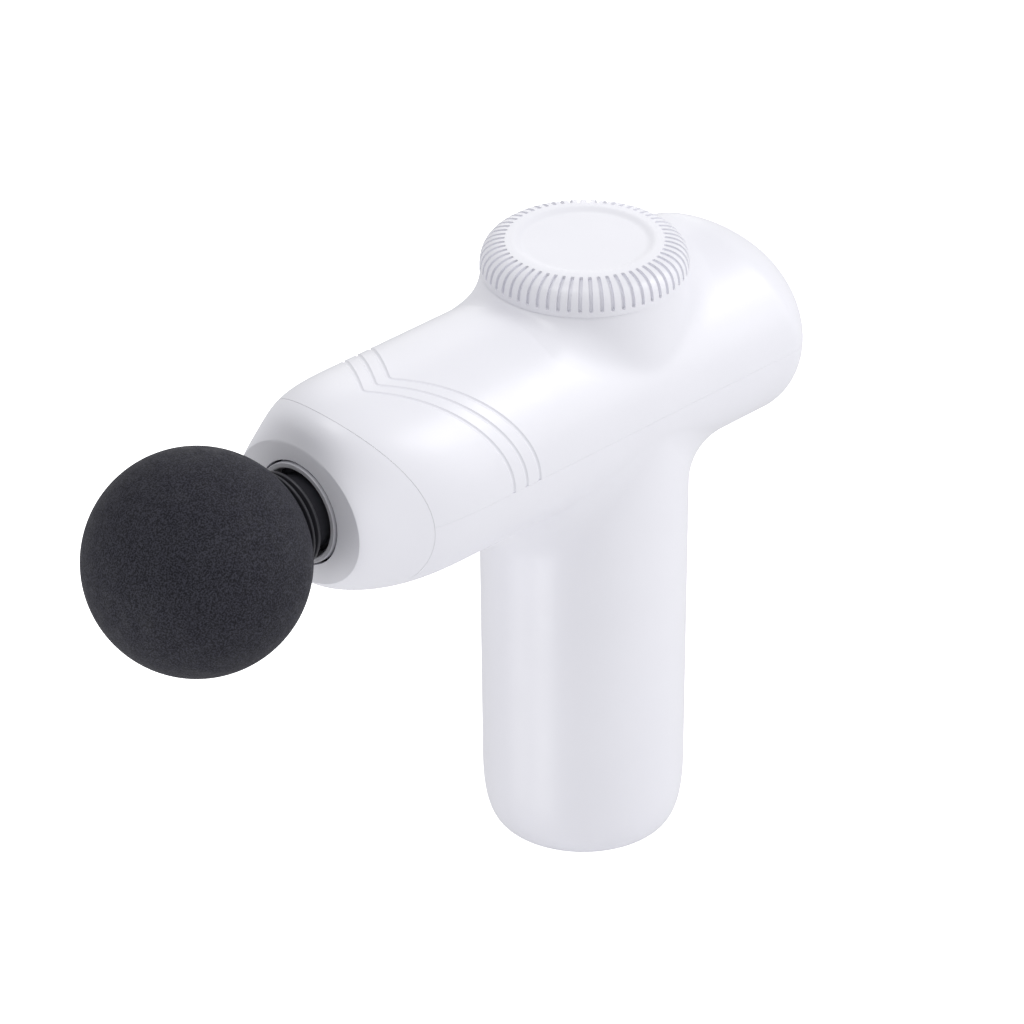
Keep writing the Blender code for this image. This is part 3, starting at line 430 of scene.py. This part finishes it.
def handle_shell(look):
    """The barrel's lower half in one with the handle, hollow, with the charging inlet's slot."""
    rim = housing_rim(-1, SHELL_STEPS)
    no_ceiling = 10 * BARREL_RADIUS
    outer = skin_rings(-1, HANDLE_TOP_RADIUS, no_ceiling, HANDLE_FILLET, rim, 0, 20, 36)
    inner = skin_rings(-1, HANDLE_TOP_RADIUS, no_ceiling, HANDLE_FILLET, rim, WALL, 8, 12)
    outer = handle_rings(outer, SHELL_STEPS, 22, 24, 0, 0)
    inner = handle_rings(inner, SHELL_STEPS, 10, 8, WALL, FLOOR_THICKNESS)
    mesh = mesh_from_rings("handle_shell", outer + inner[::-1], cyclic=False)
    finish_mesh(mesh)
    piece = add_piece("handle_shell", mesh, look, "housing", "shell_white", "lower_housing")
    cut_out(piece, charge_cutter())
    soften_edges(piece, MOULDED_EDGE)
    weight_normals(piece)


def charge_cutter():
    """A round-ended slot through the back of the handle."""
    radius = CHARGE_TALLNESS / 2
    straight = CHARGE_WIDTH / 2 - radius
    outline = []
    for middle, start in ((straight, -math.pi / 2), (-straight, math.pi / 2)):
        turns = np.linspace(start, start + math.pi, 16)
        outline += [(middle + radius * math.cos(turn), radius * math.sin(turn)) for turn in turns]
    drop = CHARGE_HEIGHT - BARREL_HEIGHT
    rings = [np.array([(x, y, drop + z) for y, z in outline]) for x in CHARGE_CUT]
    mesh = mesh_from_rings("charge_cutter", rings, cyclic=False)
    finish_mesh(mesh)
    return mesh


def barrel_shell(look):
    """The barrel's upper half with the dial's boss, hollow, with the engraved lines."""
    rim = housing_rim(1, SHELL_STEPS)
    ceiling = BOSS_TOP - WALL
    outer = skin_rings(1, BOSS_RADIUS, BOSS_TOP - BOSS_ROOM, BOSS_FILLET, rim, 0, 20, 56)
    inner = skin_rings(1, BOSS_RADIUS, ceiling - BOSS_ROOM, BOSS_FILLET, rim, WALL, 8, 14)
    boss = [level_ring(radius, BOSS_TOP, SHELL_STEPS)
            for radius in np.linspace(BOSS_HOLE_RADIUS, BOSS_RADIUS, 6)]
    edge = boss.pop()
    wall = [edge + (outer[0] - edge) * share for share in np.linspace(0, 1, 12)[1:-1]]
    outer = flare_rings([edge] + wall + outer, FLARE_RINGS, FLARE_ROUNDS)
    under = [level_ring(radius, ceiling, SHELL_STEPS)
             for radius in np.linspace(BOSS_RADIUS - WALL, BOSS_HOLE_RADIUS, 4)]
    mesh = mesh_from_rings("barrel_shell", boss + outer + inner[::-1] + under, cyclic=True)
    finish_mesh(mesh)
    piece = add_piece("barrel_shell", mesh, look, "housing", "shell_white", "upper_housing")
    soften_edges(piece, MOULDED_EDGE)
    apply_modifiers(piece)
    for index in range(GROOVE_COUNT):
        cut_out(piece, groove_cutter(index))
    piece.data.set_sharp_from_angle(angle=math.radians(30))
    weight_normals(piece)


def groove_x(angle, index):
    """Where an engraved line runs, at an angle from the barrel's top; positive is the -Y side."""
    foot = GROOVE_FOOT_X + index * GROOVE_PITCH

    def swept(turn):
        share = max(GROOVE_FOOT - turn, 0) / (GROOVE_FOOT - GROOVE_KNEE)
        return foot - GROOVE_SWEEP * share**GROOVE_BEND

    def slanted(turn):
        return swept(GROOVE_KNEE) + GROOVE_SLANT * (GROOVE_KNEE - turn)

    if angle > GROOVE_KNEE:
        return swept(angle)
    if angle > GROOVE_FAR_KNEE:
        return slanted(angle)
    return swept(-angle) + slanted(GROOVE_FAR_KNEE) - swept(-GROOVE_FAR_KNEE)


def groove_cutter(index, steps=200):
    """A round-bottomed strip along one engraved line, from below the surface to above it."""
    past_edge = GROOVE_FOOT + GROOVE_PAST_EDGE
    angles = np.linspace(past_edge, -past_edge, steps)
    x = np.array([groove_x(angle, index) for angle in angles])
    round_knees = 5
    x[2:-2] = np.convolve(x, np.full(round_knees, 1 / round_knees), mode="valid")
    outwards = np.stack((np.zeros(steps), -np.sin(angles), np.cos(angles)), axis=1)
    axis_points = np.stack((x, np.zeros(steps), np.zeros(steps)), axis=1)
    path = reach_surface(axis_points, outwards)
    along = unit(np.gradient(path, axis=0))
    across = unit(np.cross(along, outwards))
    normal = unit(np.cross(across, along))
    outline = [(-1, 1), (1, 1)] + [(a, a * a - 1) for a in np.linspace(1, -1, 9)]
    sideways, upwards = (np.array(outline) * (GROOVE_HALF_WIDTH, GROOVE_DEPTH)).T[:, :, None]
    rings = [spot + side * sideways + up * upwards for spot, side, up in zip(path, across, normal)]
    mesh = mesh_from_rings(f"groove_cutter_{index + 1}", rings, cyclic=False)
    finish_mesh(mesh)
    return mesh


def nose_ring(share, angles):
    """A ring of the nose's outer surface, a share of the way from the seam to the face's edge."""
    face_radius = 1 / np.hypot(np.sin(angles) / FACE_HALF_WIDTH, np.cos(angles) / FACE_HALF_HEIGHT)
    radius = SEAM_RADIUS + (face_radius - SEAM_RADIUS) * share
    swell = FACE_X - end_x(NOSE_END, face_radius, angles)
    along = end_x(NOSE_END, radius, angles) + swell * smooth_step(share)
    return np.stack((along - PARTING_GAP / 2, -radius * np.sin(angles), radius * np.cos(angles)), axis=1)


def nose_shell(look):
    """The nose cap: it closes to a flat oval face with the sleeve's round hole, and is hollow."""
    angles = np.arange(SHELL_STEPS) * TAU / SHELL_STEPS

    def ring(radius, along):
        return np.stack((along, -radius * np.sin(angles), radius * np.cos(angles)), axis=1)

    def inside_x(radius):
        return np.maximum(end_x(NOSE_END, radius, angles, WALL), FACE_X + WALL)

    outer = [nose_ring(share, angles) for share in np.linspace(0, 1, 28)]
    hole_edge = ring(NOSE_HOLE_RADIUS, np.full(SHELL_STEPS, FACE_X))
    face = [outer[-1] + (hole_edge - outer[-1]) * share for share in np.linspace(0, 1, 8)[1:]]
    mouth = ring(NOSE_HOLE_RADIUS, np.full(SHELL_STEPS, FACE_X + FACE_THICKNESS))
    inner_radii = np.linspace(NOSE_ROOM_RADIUS, SEAM_RADIUS - WALL, 10)
    inner = [ring(radius, inside_x(radius)) for radius in inner_radii]
    rim = ring(SEAM_RADIUS - WALL, outer[0][:, 0])
    mesh = mesh_from_rings("nose_shell", outer + face + [mouth] + inner + [rim], cyclic=True)
    finish_mesh(mesh, 25)
    piece = add_piece("nose_shell", mesh, look, "housing", "nose_white", "nose_cap")
    soften_edges(piece, NOSE_MOULDED_EDGE, angle=25)
    weight_normals(piece)


# ---------------------------------------------------------------- dial


def smooth_step(share):
    share = np.clip(share, 0, 1)
    return share * share * (3 - 2 * share)


def dial_outline():
    """Finely spaced (radius, height) points from the dish's centre over the edge and down to the foot."""
    points = [(radius, DIAL_TOP - DISH_DEPTH) for radius in np.linspace(2 * MM, DISH_FLOOR_RADIUS, 12)]
    for radius in np.linspace(DISH_FLOOR_RADIUS, DISH_RIM, 30)[1:]:
        sunk = DISH_DEPTH * smooth_step((DISH_RIM - radius) / (DISH_RIM - DISH_FLOOR_RADIUS))
        points.append((radius, DIAL_TOP - sunk))
    for angle in np.linspace(math.pi / 2, 0, 400):
        across = max(math.cos(angle), 0) ** (2 / DIAL_EDGE_POWER)
        up = math.sin(angle) ** (2 / DIAL_EDGE_POWER)
        radius = DIAL_RADIUS - DIAL_EDGE_WIDTH * (1 - across)
        if radius > DISH_RIM + 0.1 * MM:
            points.append((radius, DIAL_FOOT + (DIAL_TOP - DIAL_FOOT) * up))
    return np.array(points)


def distance_along(outline):
    """How far each point lies along an outline."""
    steps = np.hypot(*np.diff(outline, axis=0).T)
    return np.concatenate(((0,), np.cumsum(steps)))


def slot_offsets(pitch):
    """Places across one slot's pitch, close together at the slot's two edges."""
    edge = np.array((0, 0.35, 0.7, 1.0)) * (SLOT_HALF_WIDTH - SLOT_WALL)
    shoulder = SLOT_HALF_WIDTH + SLOT_SHOULDER
    outer = np.array((SLOT_HALF_WIDTH - SLOT_WALL / 2, SLOT_HALF_WIDTH, shoulder))
    land = shoulder + (pitch / 2 - shoulder) * np.array((0.5, 1.0))
    half = np.concatenate((edge, outer, land))
    return np.concatenate((-half[-2:0:-1], half))


def slotted_ring(radius, height, inward, past_end):
    """A ring round the dial, sunk along inward where it crosses a slot; past_end is how far it lies
    beyond the centre of a slot's round end."""
    spread_radius = max(radius, DISH_FLOOR_RADIUS)  # nearer the middle the points run in straight to it
    offsets = slot_offsets(TAU * spread_radius / SLOT_COUNT)
    clear = SLOT_HALF_WIDTH - np.hypot(offsets, past_end)
    depth = SLOT_DEPTH * smooth_step(clear / SLOT_WALL)
    r = np.tile(radius + inward[0] * depth, SLOT_COUNT)
    z = np.tile(height + inward[1] * depth, SLOT_COUNT)
    slot_turns = np.repeat(np.arange(SLOT_COUNT) * TAU / SLOT_COUNT, len(offsets))
    turns = slot_turns + np.tile(offsets / spread_radius, SLOT_COUNT)
    return np.stack((r * np.cos(turns), r * np.sin(turns), z), axis=1)


def ribbed_dial(look):
    """A thick cap with a dished top and round-ended slots over its edge, hollow from below."""
    outline = dial_outline()
    travel = distance_along(outline)
    edge = outline[:, 0] > DISH_RIM
    top_end = np.interp(SLOT_TOP_RADIUS, outline[edge, 0], travel[edge]) + SLOT_HALF_WIDTH
    foot_end = np.interp(-SLOT_FOOT_HEIGHT, -outline[edge, 1], travel[edge]) - SLOT_HALF_WIDTH
    across_end = np.linspace(-SLOT_HALF_WIDTH, SLOT_HALF_WIDTH, 13)
    even = np.linspace(0, travel[-1], 90)
    places = np.unique(np.concatenate((even, top_end + across_end, foot_end + across_end)))
    radii = np.interp(places, travel, outline[:, 0])
    heights = np.interp(places, travel, outline[:, 1])
    slope = unit(np.stack((np.gradient(radii, places), np.gradient(heights, places)), axis=1))
    rings = []
    for radius, height, (out, up), place in zip(radii, heights, slope, places):
        past_end = max(top_end - place, place - foot_end, 0)
        rings.append(slotted_ring(radius, height, (up, -out), past_end))
    for radius, height in ((DIAL_SKIRT_RADIUS, DIAL_FOOT), (DIAL_SKIRT_RADIUS, DIAL_ROOF)):
        rings.append(slotted_ring(radius, height, (0, 0), travel[-1]))
    mesh = mesh_from_rings("ribbed_dial", rings, cyclic=False)
    finish_mesh(mesh, 38)
    piece = add_piece("ribbed_dial", mesh, look, "dial", "dial_white", "dial_knob")
    weight_normals(piece)


# ---------------------------------------------------------------- head and sleeve


def turned_mesh(name, profile, steps=128):
    """Spins a profile of (radius, place along X) points about the barrel's axis."""
    turns = np.arange(steps) * TAU / steps
    rings = [np.stack((np.full(steps, x), radius * np.sin(turns), radius * np.cos(turns)), axis=1)
             for radius, x in profile]
    return mesh_from_rings(name, rings, cyclic=False)


def foam_head(look):
    """The ball with its flat seat and the blind bore that the stem's core fills."""
    seat_x = BALL_X + math.sqrt(BALL_RADIUS**2 - STEM_RADIUS**2)
    bore_end = BALL_X - 4.3 * MM
    bore = CORE_RADIUS + BORE_ROOM
    profile = [(AXIS_HOLE, bore_end), (bore, bore_end)]
    profile += [(bore, x) for x in np.linspace(bore_end, seat_x, 12)[1:]]
    edge_angle = math.asin(STEM_RADIUS / BALL_RADIUS)
    for angle in np.linspace(edge_angle, math.pi - 0.004, 150):
        profile.append((BALL_RADIUS * math.sin(angle), BALL_X + BALL_RADIUS * math.cos(angle)))
    mesh = turned_mesh("foam_head", profile, 256)
    finish_mesh(mesh)
    piece = add_piece("foam_head", mesh, look, "head", "foam", "foam_ball")
    soften_edges(piece, 0.5 * MM, 3)


def stem_piece(look):
    """The charcoal stem: collar under the ball, round lip, two ring grooves and a rounded tip."""
    back_of_ball = BALL_X + math.sqrt(BALL_RADIUS**2 - STEM_RADIUS**2)
    gap = 0.3 * MM
    collar = 11.7 * MM
    lip = 11 * MM
    neck = 9.6 * MM
    ring_bed = 8.3 * MM
    core_tip = BALL_X - 4 * MM
    collar_rear = back_of_ball + 1 * MM
    lip_front = back_of_ball + 2.4 * MM
    lip_rear = lip_front + 0.8 * MM
    waist = 8.4 * MM
    waist_end = -85 * MM
    profile = [(AXIS_HOLE, core_tip), (CORE_RADIUS, core_tip), (CORE_RADIUS, back_of_ball + gap),
               (collar, back_of_ball + gap), (collar, collar_rear), (neck, collar_rear),
               (neck, lip_front), (lip, lip_front), (lip, lip_rear),
               (waist, lip_rear), (waist, waist_end), (STEM_RADIUS, waist_end + 1 * MM)]
    for place in RING_BEDS:
        front = place - 1 * MM
        rear = place + 1 * MM
        profile += [(STEM_RADIUS, front), (ring_bed, front), (ring_bed, rear), (STEM_RADIUS, rear)]
    taper = 1.5 * MM
    profile += [(STEM_RADIUS, STEM_TIP_X - taper), (STEM_RADIUS - taper, STEM_TIP_X),
                (AXIS_HOLE, STEM_TIP_X)]
    mesh = turned_mesh("head_stem", profile)
    finish_mesh(mesh)
    piece = add_piece("head_stem", mesh, look, "head", "stem_plastic", "ball_stem")
    soften_edges(piece, 0.45 * MM, 4)


def sleeve_piece(look):
    """The sliding sleeve, whose flat rim shows as a pale ring in the nose."""
    wall_front, wall_rear = SLEEVE_WALL
    profile = [(AXIS_HOLE, wall_front), (SOCKET_RADIUS, wall_front),
               (SOCKET_RADIUS, SLEEVE_FRONT + SLEEVE_BROKEN_EDGE),
               (SOCKET_RADIUS + SLEEVE_BROKEN_EDGE, SLEEVE_FRONT),
               (SLEEVE_RADIUS, SLEEVE_FRONT), (SLEEVE_RADIUS, SLEEVE_REAR),
               (SOCKET_RADIUS, SLEEVE_REAR), (SOCKET_RADIUS, wall_rear), (AXIS_HOLE, wall_rear)]
    mesh = turned_mesh("socket_sleeve", profile)
    finish_mesh(mesh)
    piece = add_piece("socket_sleeve", mesh, look, "piston", "sleeve_aluminium", "piston_sleeve")
    soften_edges(piece, 0.15 * MM, 2)


# ---------------------------------------------------------------- materials


class Look:
    """A Principled material under construction, textured by the place on the resting object."""

    def __init__(self, name, settings=None):
        self.material = bpy.data.materials.new(name)
        self.material.use_nodes = True
        self.nodes = self.material.node_tree.nodes
        self.links = self.material.node_tree.links
        self.shader = self.nodes["Principled BSDF"]
        for socket, value in (settings or {}).items():
            self.shader.inputs[socket].default_value = value
        self.place = self.nodes.new("ShaderNodeTexCoord").outputs["Object"]

    def scaled_place(self, stretch):
        mapping = self.nodes.new("ShaderNodeMapping")
        mapping.inputs["Scale"].default_value = stretch
        self.links.new(self.place, mapping.inputs["Vector"])
        return mapping.outputs["Vector"]

    def noise(self, size, detail=4.0, roughness=0.55, stretch=(1, 1, 1)):
        texture = self.nodes.new("ShaderNodeTexNoise")
        texture.inputs["Scale"].default_value = 1 / size
        texture.inputs["Detail"].default_value = detail
        texture.inputs["Roughness"].default_value = roughness
        self.links.new(self.scaled_place(stretch), texture.inputs["Vector"])
        return texture.outputs["Fac"]

    def cells(self, size, feature="F1"):
        texture = self.nodes.new("ShaderNodeTexVoronoi")
        texture.feature = feature
        texture.inputs["Scale"].default_value = 1 / size
        self.links.new(self.scaled_place((1, 1, 1)), texture.inputs["Vector"])
        return texture.outputs["Distance"]

    def spread(self, value, low, high, to_low=0, to_high=1):
        """Maps a band of a texture to a band of a setting, smoothly."""
        mapped = self.nodes.new("ShaderNodeMapRange")
        mapped.interpolation_type = "SMOOTHSTEP"
        mapped.inputs["From Min"].default_value = low
        mapped.inputs["From Max"].default_value = high
        mapped.inputs["To Min"].default_value = to_low
        mapped.inputs["To Max"].default_value = to_high
        self.links.new(value, mapped.inputs["Value"])
        return mapped.outputs["Result"]

    def blend(self, share, first, second):
        mix = self.nodes.new("ShaderNodeMix")
        mix.data_type = "RGBA"
        mix.inputs["A"].default_value = (*first, 1)
        mix.inputs["B"].default_value = (*second, 1)
        self.links.new(share, mix.inputs["Factor"])
        return mix.outputs["Result"]

    def tint(self, share, first, second):
        self.links.new(self.blend(share, first, second), self.shader.inputs["Base Color"])

    def roughen(self, share, smooth, rough):
        self.links.new(self.spread(share, 0.25, 0.75, smooth, rough), self.shader.inputs["Roughness"])

    def emboss(self, height, depth, strength=1.0):
        """Adds relief on top of any that is there already."""
        bump = self.nodes.new("ShaderNodeBump")
        bump.inputs["Strength"].default_value = strength
        bump.inputs["Distance"].default_value = depth
        self.links.new(height, bump.inputs["Height"])
        earlier = self.shader.inputs["Normal"].links
        if earlier:
            self.links.new(earlier[0].from_socket, bump.inputs["Normal"])
        self.links.new(bump.outputs["Normal"], self.shader.inputs["Normal"])


def white_shell(name, smooth=0.36, rough=0.40):
    """Satin white ABS: faint mottling and a fine moulded grain."""
    look = Look(name, {"IOR": 1.5, "Coat Weight": 0.2, "Coat Roughness": 0.3})
    mottling = look.spread(look.noise(25 * MM, 1), 0.3, 0.7)
    look.tint(mottling, (0.79, 0.79, 0.845), (0.80, 0.80, 0.855))
    look.roughen(look.noise(9 * MM, 2), smooth, rough)
    look.emboss(look.noise(0.5 * MM, 2), 0.0015 * MM, 0.6)
    return look.material


def foam_look():
    """Charcoal EVA foam: a fine grain of lighter specks, pressed cells and a soft sheen."""
    look = Look("charcoal_foam", {"IOR": 1.3, "Sheen Weight": 0.02, "Sheen Roughness": 0.5})
    look.shader.inputs["Sheen Tint"].default_value = (0.75, 0.75, 0.85, 1)
    specks = look.spread(look.noise(0.36 * MM, 2, 0.6), 0.36, 0.66)
    look.tint(specks, (0.006, 0.006, 0.0095), (0.037, 0.037, 0.051))
    look.roughen(look.noise(3 * MM, 4), 0.62, 0.85)
    look.emboss(look.cells(0.5 * MM), 0.05 * MM, 0.35)
    look.emboss(look.noise(0.4 * MM, 2), 0.05 * MM, 0.6)
    return look.material


def moulded(name, dark, light, rough, grain=0.3 * MM):
    """A coloured moulding with an even spark-eroded grain."""
    look = Look(name)
    look.tint(look.noise(5 * MM), dark, light)
    look.roughen(look.noise(2 * MM), rough - 0.06, rough + 0.06)
    look.emboss(look.noise(grain, 2), 0.01 * MM, 0.7)
    return look.material


def metal(name, dark, light, rough, stretch=(1, 1, 1), grain=0.4 * MM):
    """Bare metal with its machining marks drawn out along one direction."""
    look = Look(name, {"Metallic": 1.0})
    marks = look.noise(grain, 4, 0.6, stretch)
    look.tint(marks, dark, light)
    look.roughen(marks, rough - 0.06, rough + 0.08)
    look.emboss(marks, 0.006 * MM, 0.6)
    return look.material


def anodised():
    """Bead-blasted and anodised aluminium: matt pale grey, with hardly any lustre."""
    look = Look("grey_anodised", {"Metallic": 0.25, "IOR": 1.5})
    look.tint(look.noise(2 * MM, 3), (0.50, 0.50, 0.54), (0.58, 0.58, 0.62))
    look.roughen(look.noise(1 * MM, 3), 0.5, 0.62)
    look.emboss(look.noise(0.2 * MM, 2), 0.004 * MM, 0.6)
    return look.material


def circuit_board():
    """Green solder mask over copper: blocks of trace and bare ground show through."""
    look = Look("solder_mask", {"IOR": 1.5, "Coat Weight": 0.4, "Coat Roughness": 0.15})
    traces = look.cells(2.2 * MM, "DISTANCE_TO_EDGE")
    look.tint(look.spread(traces, 0.05, 0.09), (0.03, 0.22, 0.11), (0.012, 0.12, 0.055))
    look.roughen(look.noise(3 * MM), 0.3, 0.45)
    look.emboss(look.spread(traces, 0.05, 0.09, 1, 0), 0.03 * MM, 0.6)
    return look.material


def cell_wrapping():
    """Blue shrink film over a steel can, with faint drawn streaks along the cell."""
    look = Look("cell_film", {"IOR": 1.48, "Coat Weight": 0.5, "Coat Roughness": 0.2})
    streaks = look.noise(1.2 * MM, 3, 0.5, (1, 1, 0.05))
    look.tint(streaks, (0.035, 0.17, 0.38), (0.06, 0.26, 0.50))
    look.roughen(streaks, 0.28, 0.42)
    look.emboss(streaks, 0.02 * MM, 0.5)
    return look.material


def copper_winding():
    """Lacquered wire laid in even turns across each pole."""
    look = Look("copper_winding", {"Metallic": 1.0, "Coat Weight": 0.5})
    turns = look.nodes.new("ShaderNodeTexWave")
    turns.bands_direction = "Z"
    turns.inputs["Scale"].default_value = 1 / (3.2 * MM)
    turns.inputs["Distortion"].default_value = 0.3
    look.links.new(look.place, turns.inputs["Vector"])
    look.tint(turns.outputs["Fac"], (0.42, 0.15, 0.06), (0.83, 0.42, 0.22))
    look.roughen(look.noise(2 * MM), 0.25, 0.4)
    look.emboss(turns.outputs["Fac"], 0.15 * MM, 0.8)
    return look.material


def rubber_look():
    """Black rubber, matt, with a dusty bloom in patches."""
    look = Look("black_rubber", {"IOR": 1.5})
    bloom = look.spread(look.noise(4 * MM, 5), 0.45, 0.75)
    look.tint(bloom, (0.016, 0.016, 0.017), (0.045, 0.045, 0.048))
    look.roughen(look.noise(1.5 * MM), 0.6, 0.8)
    look.emboss(look.noise(0.25 * MM, 3), 0.02 * MM, 0.7)
    return look.material


def make_finishes():
    """One finish for each material slot of the record."""
    return {
        "shell_white": white_shell("shell_plastic"),
        "nose_white": white_shell("nose_plastic"),
        "dial_white": white_shell("dial_plastic", 0.36, 0.42),
        "inner_white": moulded("inner_plastic", (0.70, 0.70, 0.72), (0.78, 0.78, 0.80), 0.5),
        "foam": foam_look(),
        "stem_plastic": moulded("charcoal_plastic", (0.026, 0.026, 0.032), (0.04, 0.04, 0.05), 0.36),
        "rubber": rubber_look(),
        "sleeve_aluminium": anodised(),
        "aluminium": metal("machined_aluminium", (0.66, 0.67, 0.69), (0.80, 0.81, 0.83), 0.32, (1, 0.05, 1)),
        "steel": metal("ground_steel", (0.48, 0.48, 0.50), (0.66, 0.66, 0.68), 0.25, (1, 1, 0.05)),
        "copper": copper_winding(),
        "magnet": metal("plated_magnet", (0.38, 0.38, 0.40), (0.50, 0.50, 0.51), 0.22),
        "brass": metal("bushing_bronze", (0.62, 0.44, 0.18), (0.78, 0.60, 0.30), 0.3),
        "nylon": moulded("filled_nylon", (0.15, 0.155, 0.165), (0.21, 0.215, 0.225), 0.5),
        "board": circuit_board(),
        "black_plastic": moulded("black_moulding", (0.02, 0.02, 0.022), (0.035, 0.035, 0.038), 0.45),
        "cell_wrap": cell_wrapping(),
    }


def dress_nodes(frame, finishes):
    """Gives every CAD node the finish of its slot."""
    for part in frame["record"]["subparts"]:
        mesh = frame["nodes"][part["node"]].data
        mesh.materials.clear()
        mesh.materials.append(finishes[part["material_slot"]])


# ---------------------------------------------------------------- light, floor and camera


def direction_to(azimuth, elevation):
    """The unit vector towards a viewer at an azimuth, which is 0 on the -Y side, and an elevation."""
    level = math.cos(elevation)
    return Vector((math.sin(azimuth) * level, -math.cos(azimuth) * level, math.sin(elevation)))


def view_axes():
    """Right, up and forward as the camera sees them, with its small roll."""
    back = direction_to(VIEW_AZIMUTH, VIEW_ELEVATION)
    right = Vector((0, 0, 1)).cross(back).normalized()
    turned = Matrix.Rotation(VIEW_ROLL, 3, back)
    right = turned @ right
    return right, back.cross(right), -back


def add_camera():
    right, up, forward = view_axes()
    data = bpy.data.cameras.new("camera")
    data.sensor_width = SENSOR
    data.lens = FOCAL_LENGTH
    data.clip_end = 20
    camera = bpy.data.objects.new("camera", data)
    target = Vector((0, 0, BARREL_HEIGHT)) + right * VIEW_RIGHT + up * VIEW_UP
    spot = target - forward * VIEW_DISTANCE
    facing = Matrix((right, up, -forward)).transposed().to_4x4()
    camera.matrix_world = Matrix.Translation(spot) @ facing
    bpy.context.scene.collection.objects.link(camera)
    bpy.context.scene.camera = camera


def add_softbox(name, azimuth, elevation, width, power):
    """A square softbox that faces the object from the given direction."""
    direction = direction_to(math.radians(azimuth), math.radians(elevation))
    data = bpy.data.lights.new(name, "AREA")
    data.shape = "SQUARE"
    data.size = width
    data.energy = power
    box = bpy.data.objects.new(name, data)
    box.location = Vector(LIT_POINT) + direction * SOFTBOX_DISTANCE
    box.rotation_euler = direction.to_track_quat("Z", "Y").to_euler()
    bpy.context.scene.collection.objects.link(box)


def add_world():
    """An even glow from all round, as a white room gives."""
    world = bpy.data.worlds.new("studio")
    world.use_nodes = True
    backdrop = world.node_tree.nodes["Background"]
    backdrop.inputs["Color"].default_value = (1.0, 1.0, 1.0, 1)
    backdrop.inputs["Strength"].default_value = ROOM_GLOW
    bpy.context.scene.world = world


def add_stage_piece(name, mesh, glow):
    """A matt white piece round the object; its glow is for the camera and is no lamp."""
    look = Look(name, {"Roughness": 0.9, "Emission Color": (1, 1, 1, 1), "Emission Strength": glow})
    look.tint(look.noise(60 * MM), (0.93, 0.93, 0.94), (0.95, 0.95, 0.96))
    look.material.cycles.emission_sampling = "NONE"
    mesh.materials.append(look.material)
    piece = bpy.data.objects.new(name, mesh)
    bpy.context.scene.collection.objects.link(piece)
    return piece


def add_floor():
    """A white floor that runs up into a dome, and the table top that throws the light back up.

    The camera sees only the floor and dome, and the object is lit only by the table top."""
    steps = 64
    rings = [level_ring(BACKDROP_RADIUS * share, 0, steps) for share in (0.01, 0.1, 0.3, 0.6)]
    for lift in np.linspace(0, math.radians(89), 24):
        rings.append(level_ring(BACKDROP_RADIUS * math.cos(lift), BACKDROP_RADIUS * math.sin(lift), steps))
    mesh = mesh_from_rings("floor", rings, cyclic=False)
    floor = add_stage_piece("floor", mesh, 1.0)
    floor.visible_diffuse = False
    floor.visible_glossy = False
    floor.visible_transmission = False
    floor.visible_shadow = False
    half = BACKDROP_RADIUS
    corners = [(-half, -half, 0), (half, -half, 0), (half, half, 0), (-half, half, 0)]
    mesh = bpy.data.meshes.new("table_top")
    mesh.from_pydata(corners, [], [(0, 1, 2, 3)])
    table = add_stage_piece("table_top", mesh, 0.0)
    table.visible_camera = False
    table.visible_glossy = False
    table.visible_shadow = False


def set_tone():
    """Plain tones, so that white plastic stays white."""
    scene = bpy.context.scene
    scene.view_settings.view_transform = "Standard"
    scene.view_settings.look = "None"
    scene.view_settings.exposure = 0.0


def main():
    clear_startup_scene()
    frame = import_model()
    finishes = make_finishes()
    dress_nodes(frame, finishes)
    handle_shell(finishes["shell_white"])
    barrel_shell(finishes["shell_white"])
    nose_shell(finishes["nose_white"])
    ribbed_dial(finishes["dial_white"])
    foam_head(finishes["foam"])
    stem_piece(finishes["stem_plastic"])
    sleeve_piece(finishes["sleeve_aluminium"])
    add_camera()
    for softbox in SOFTBOXES:
        add_softbox(*softbox)
    add_world()
    add_floor()
    set_tone()


main()
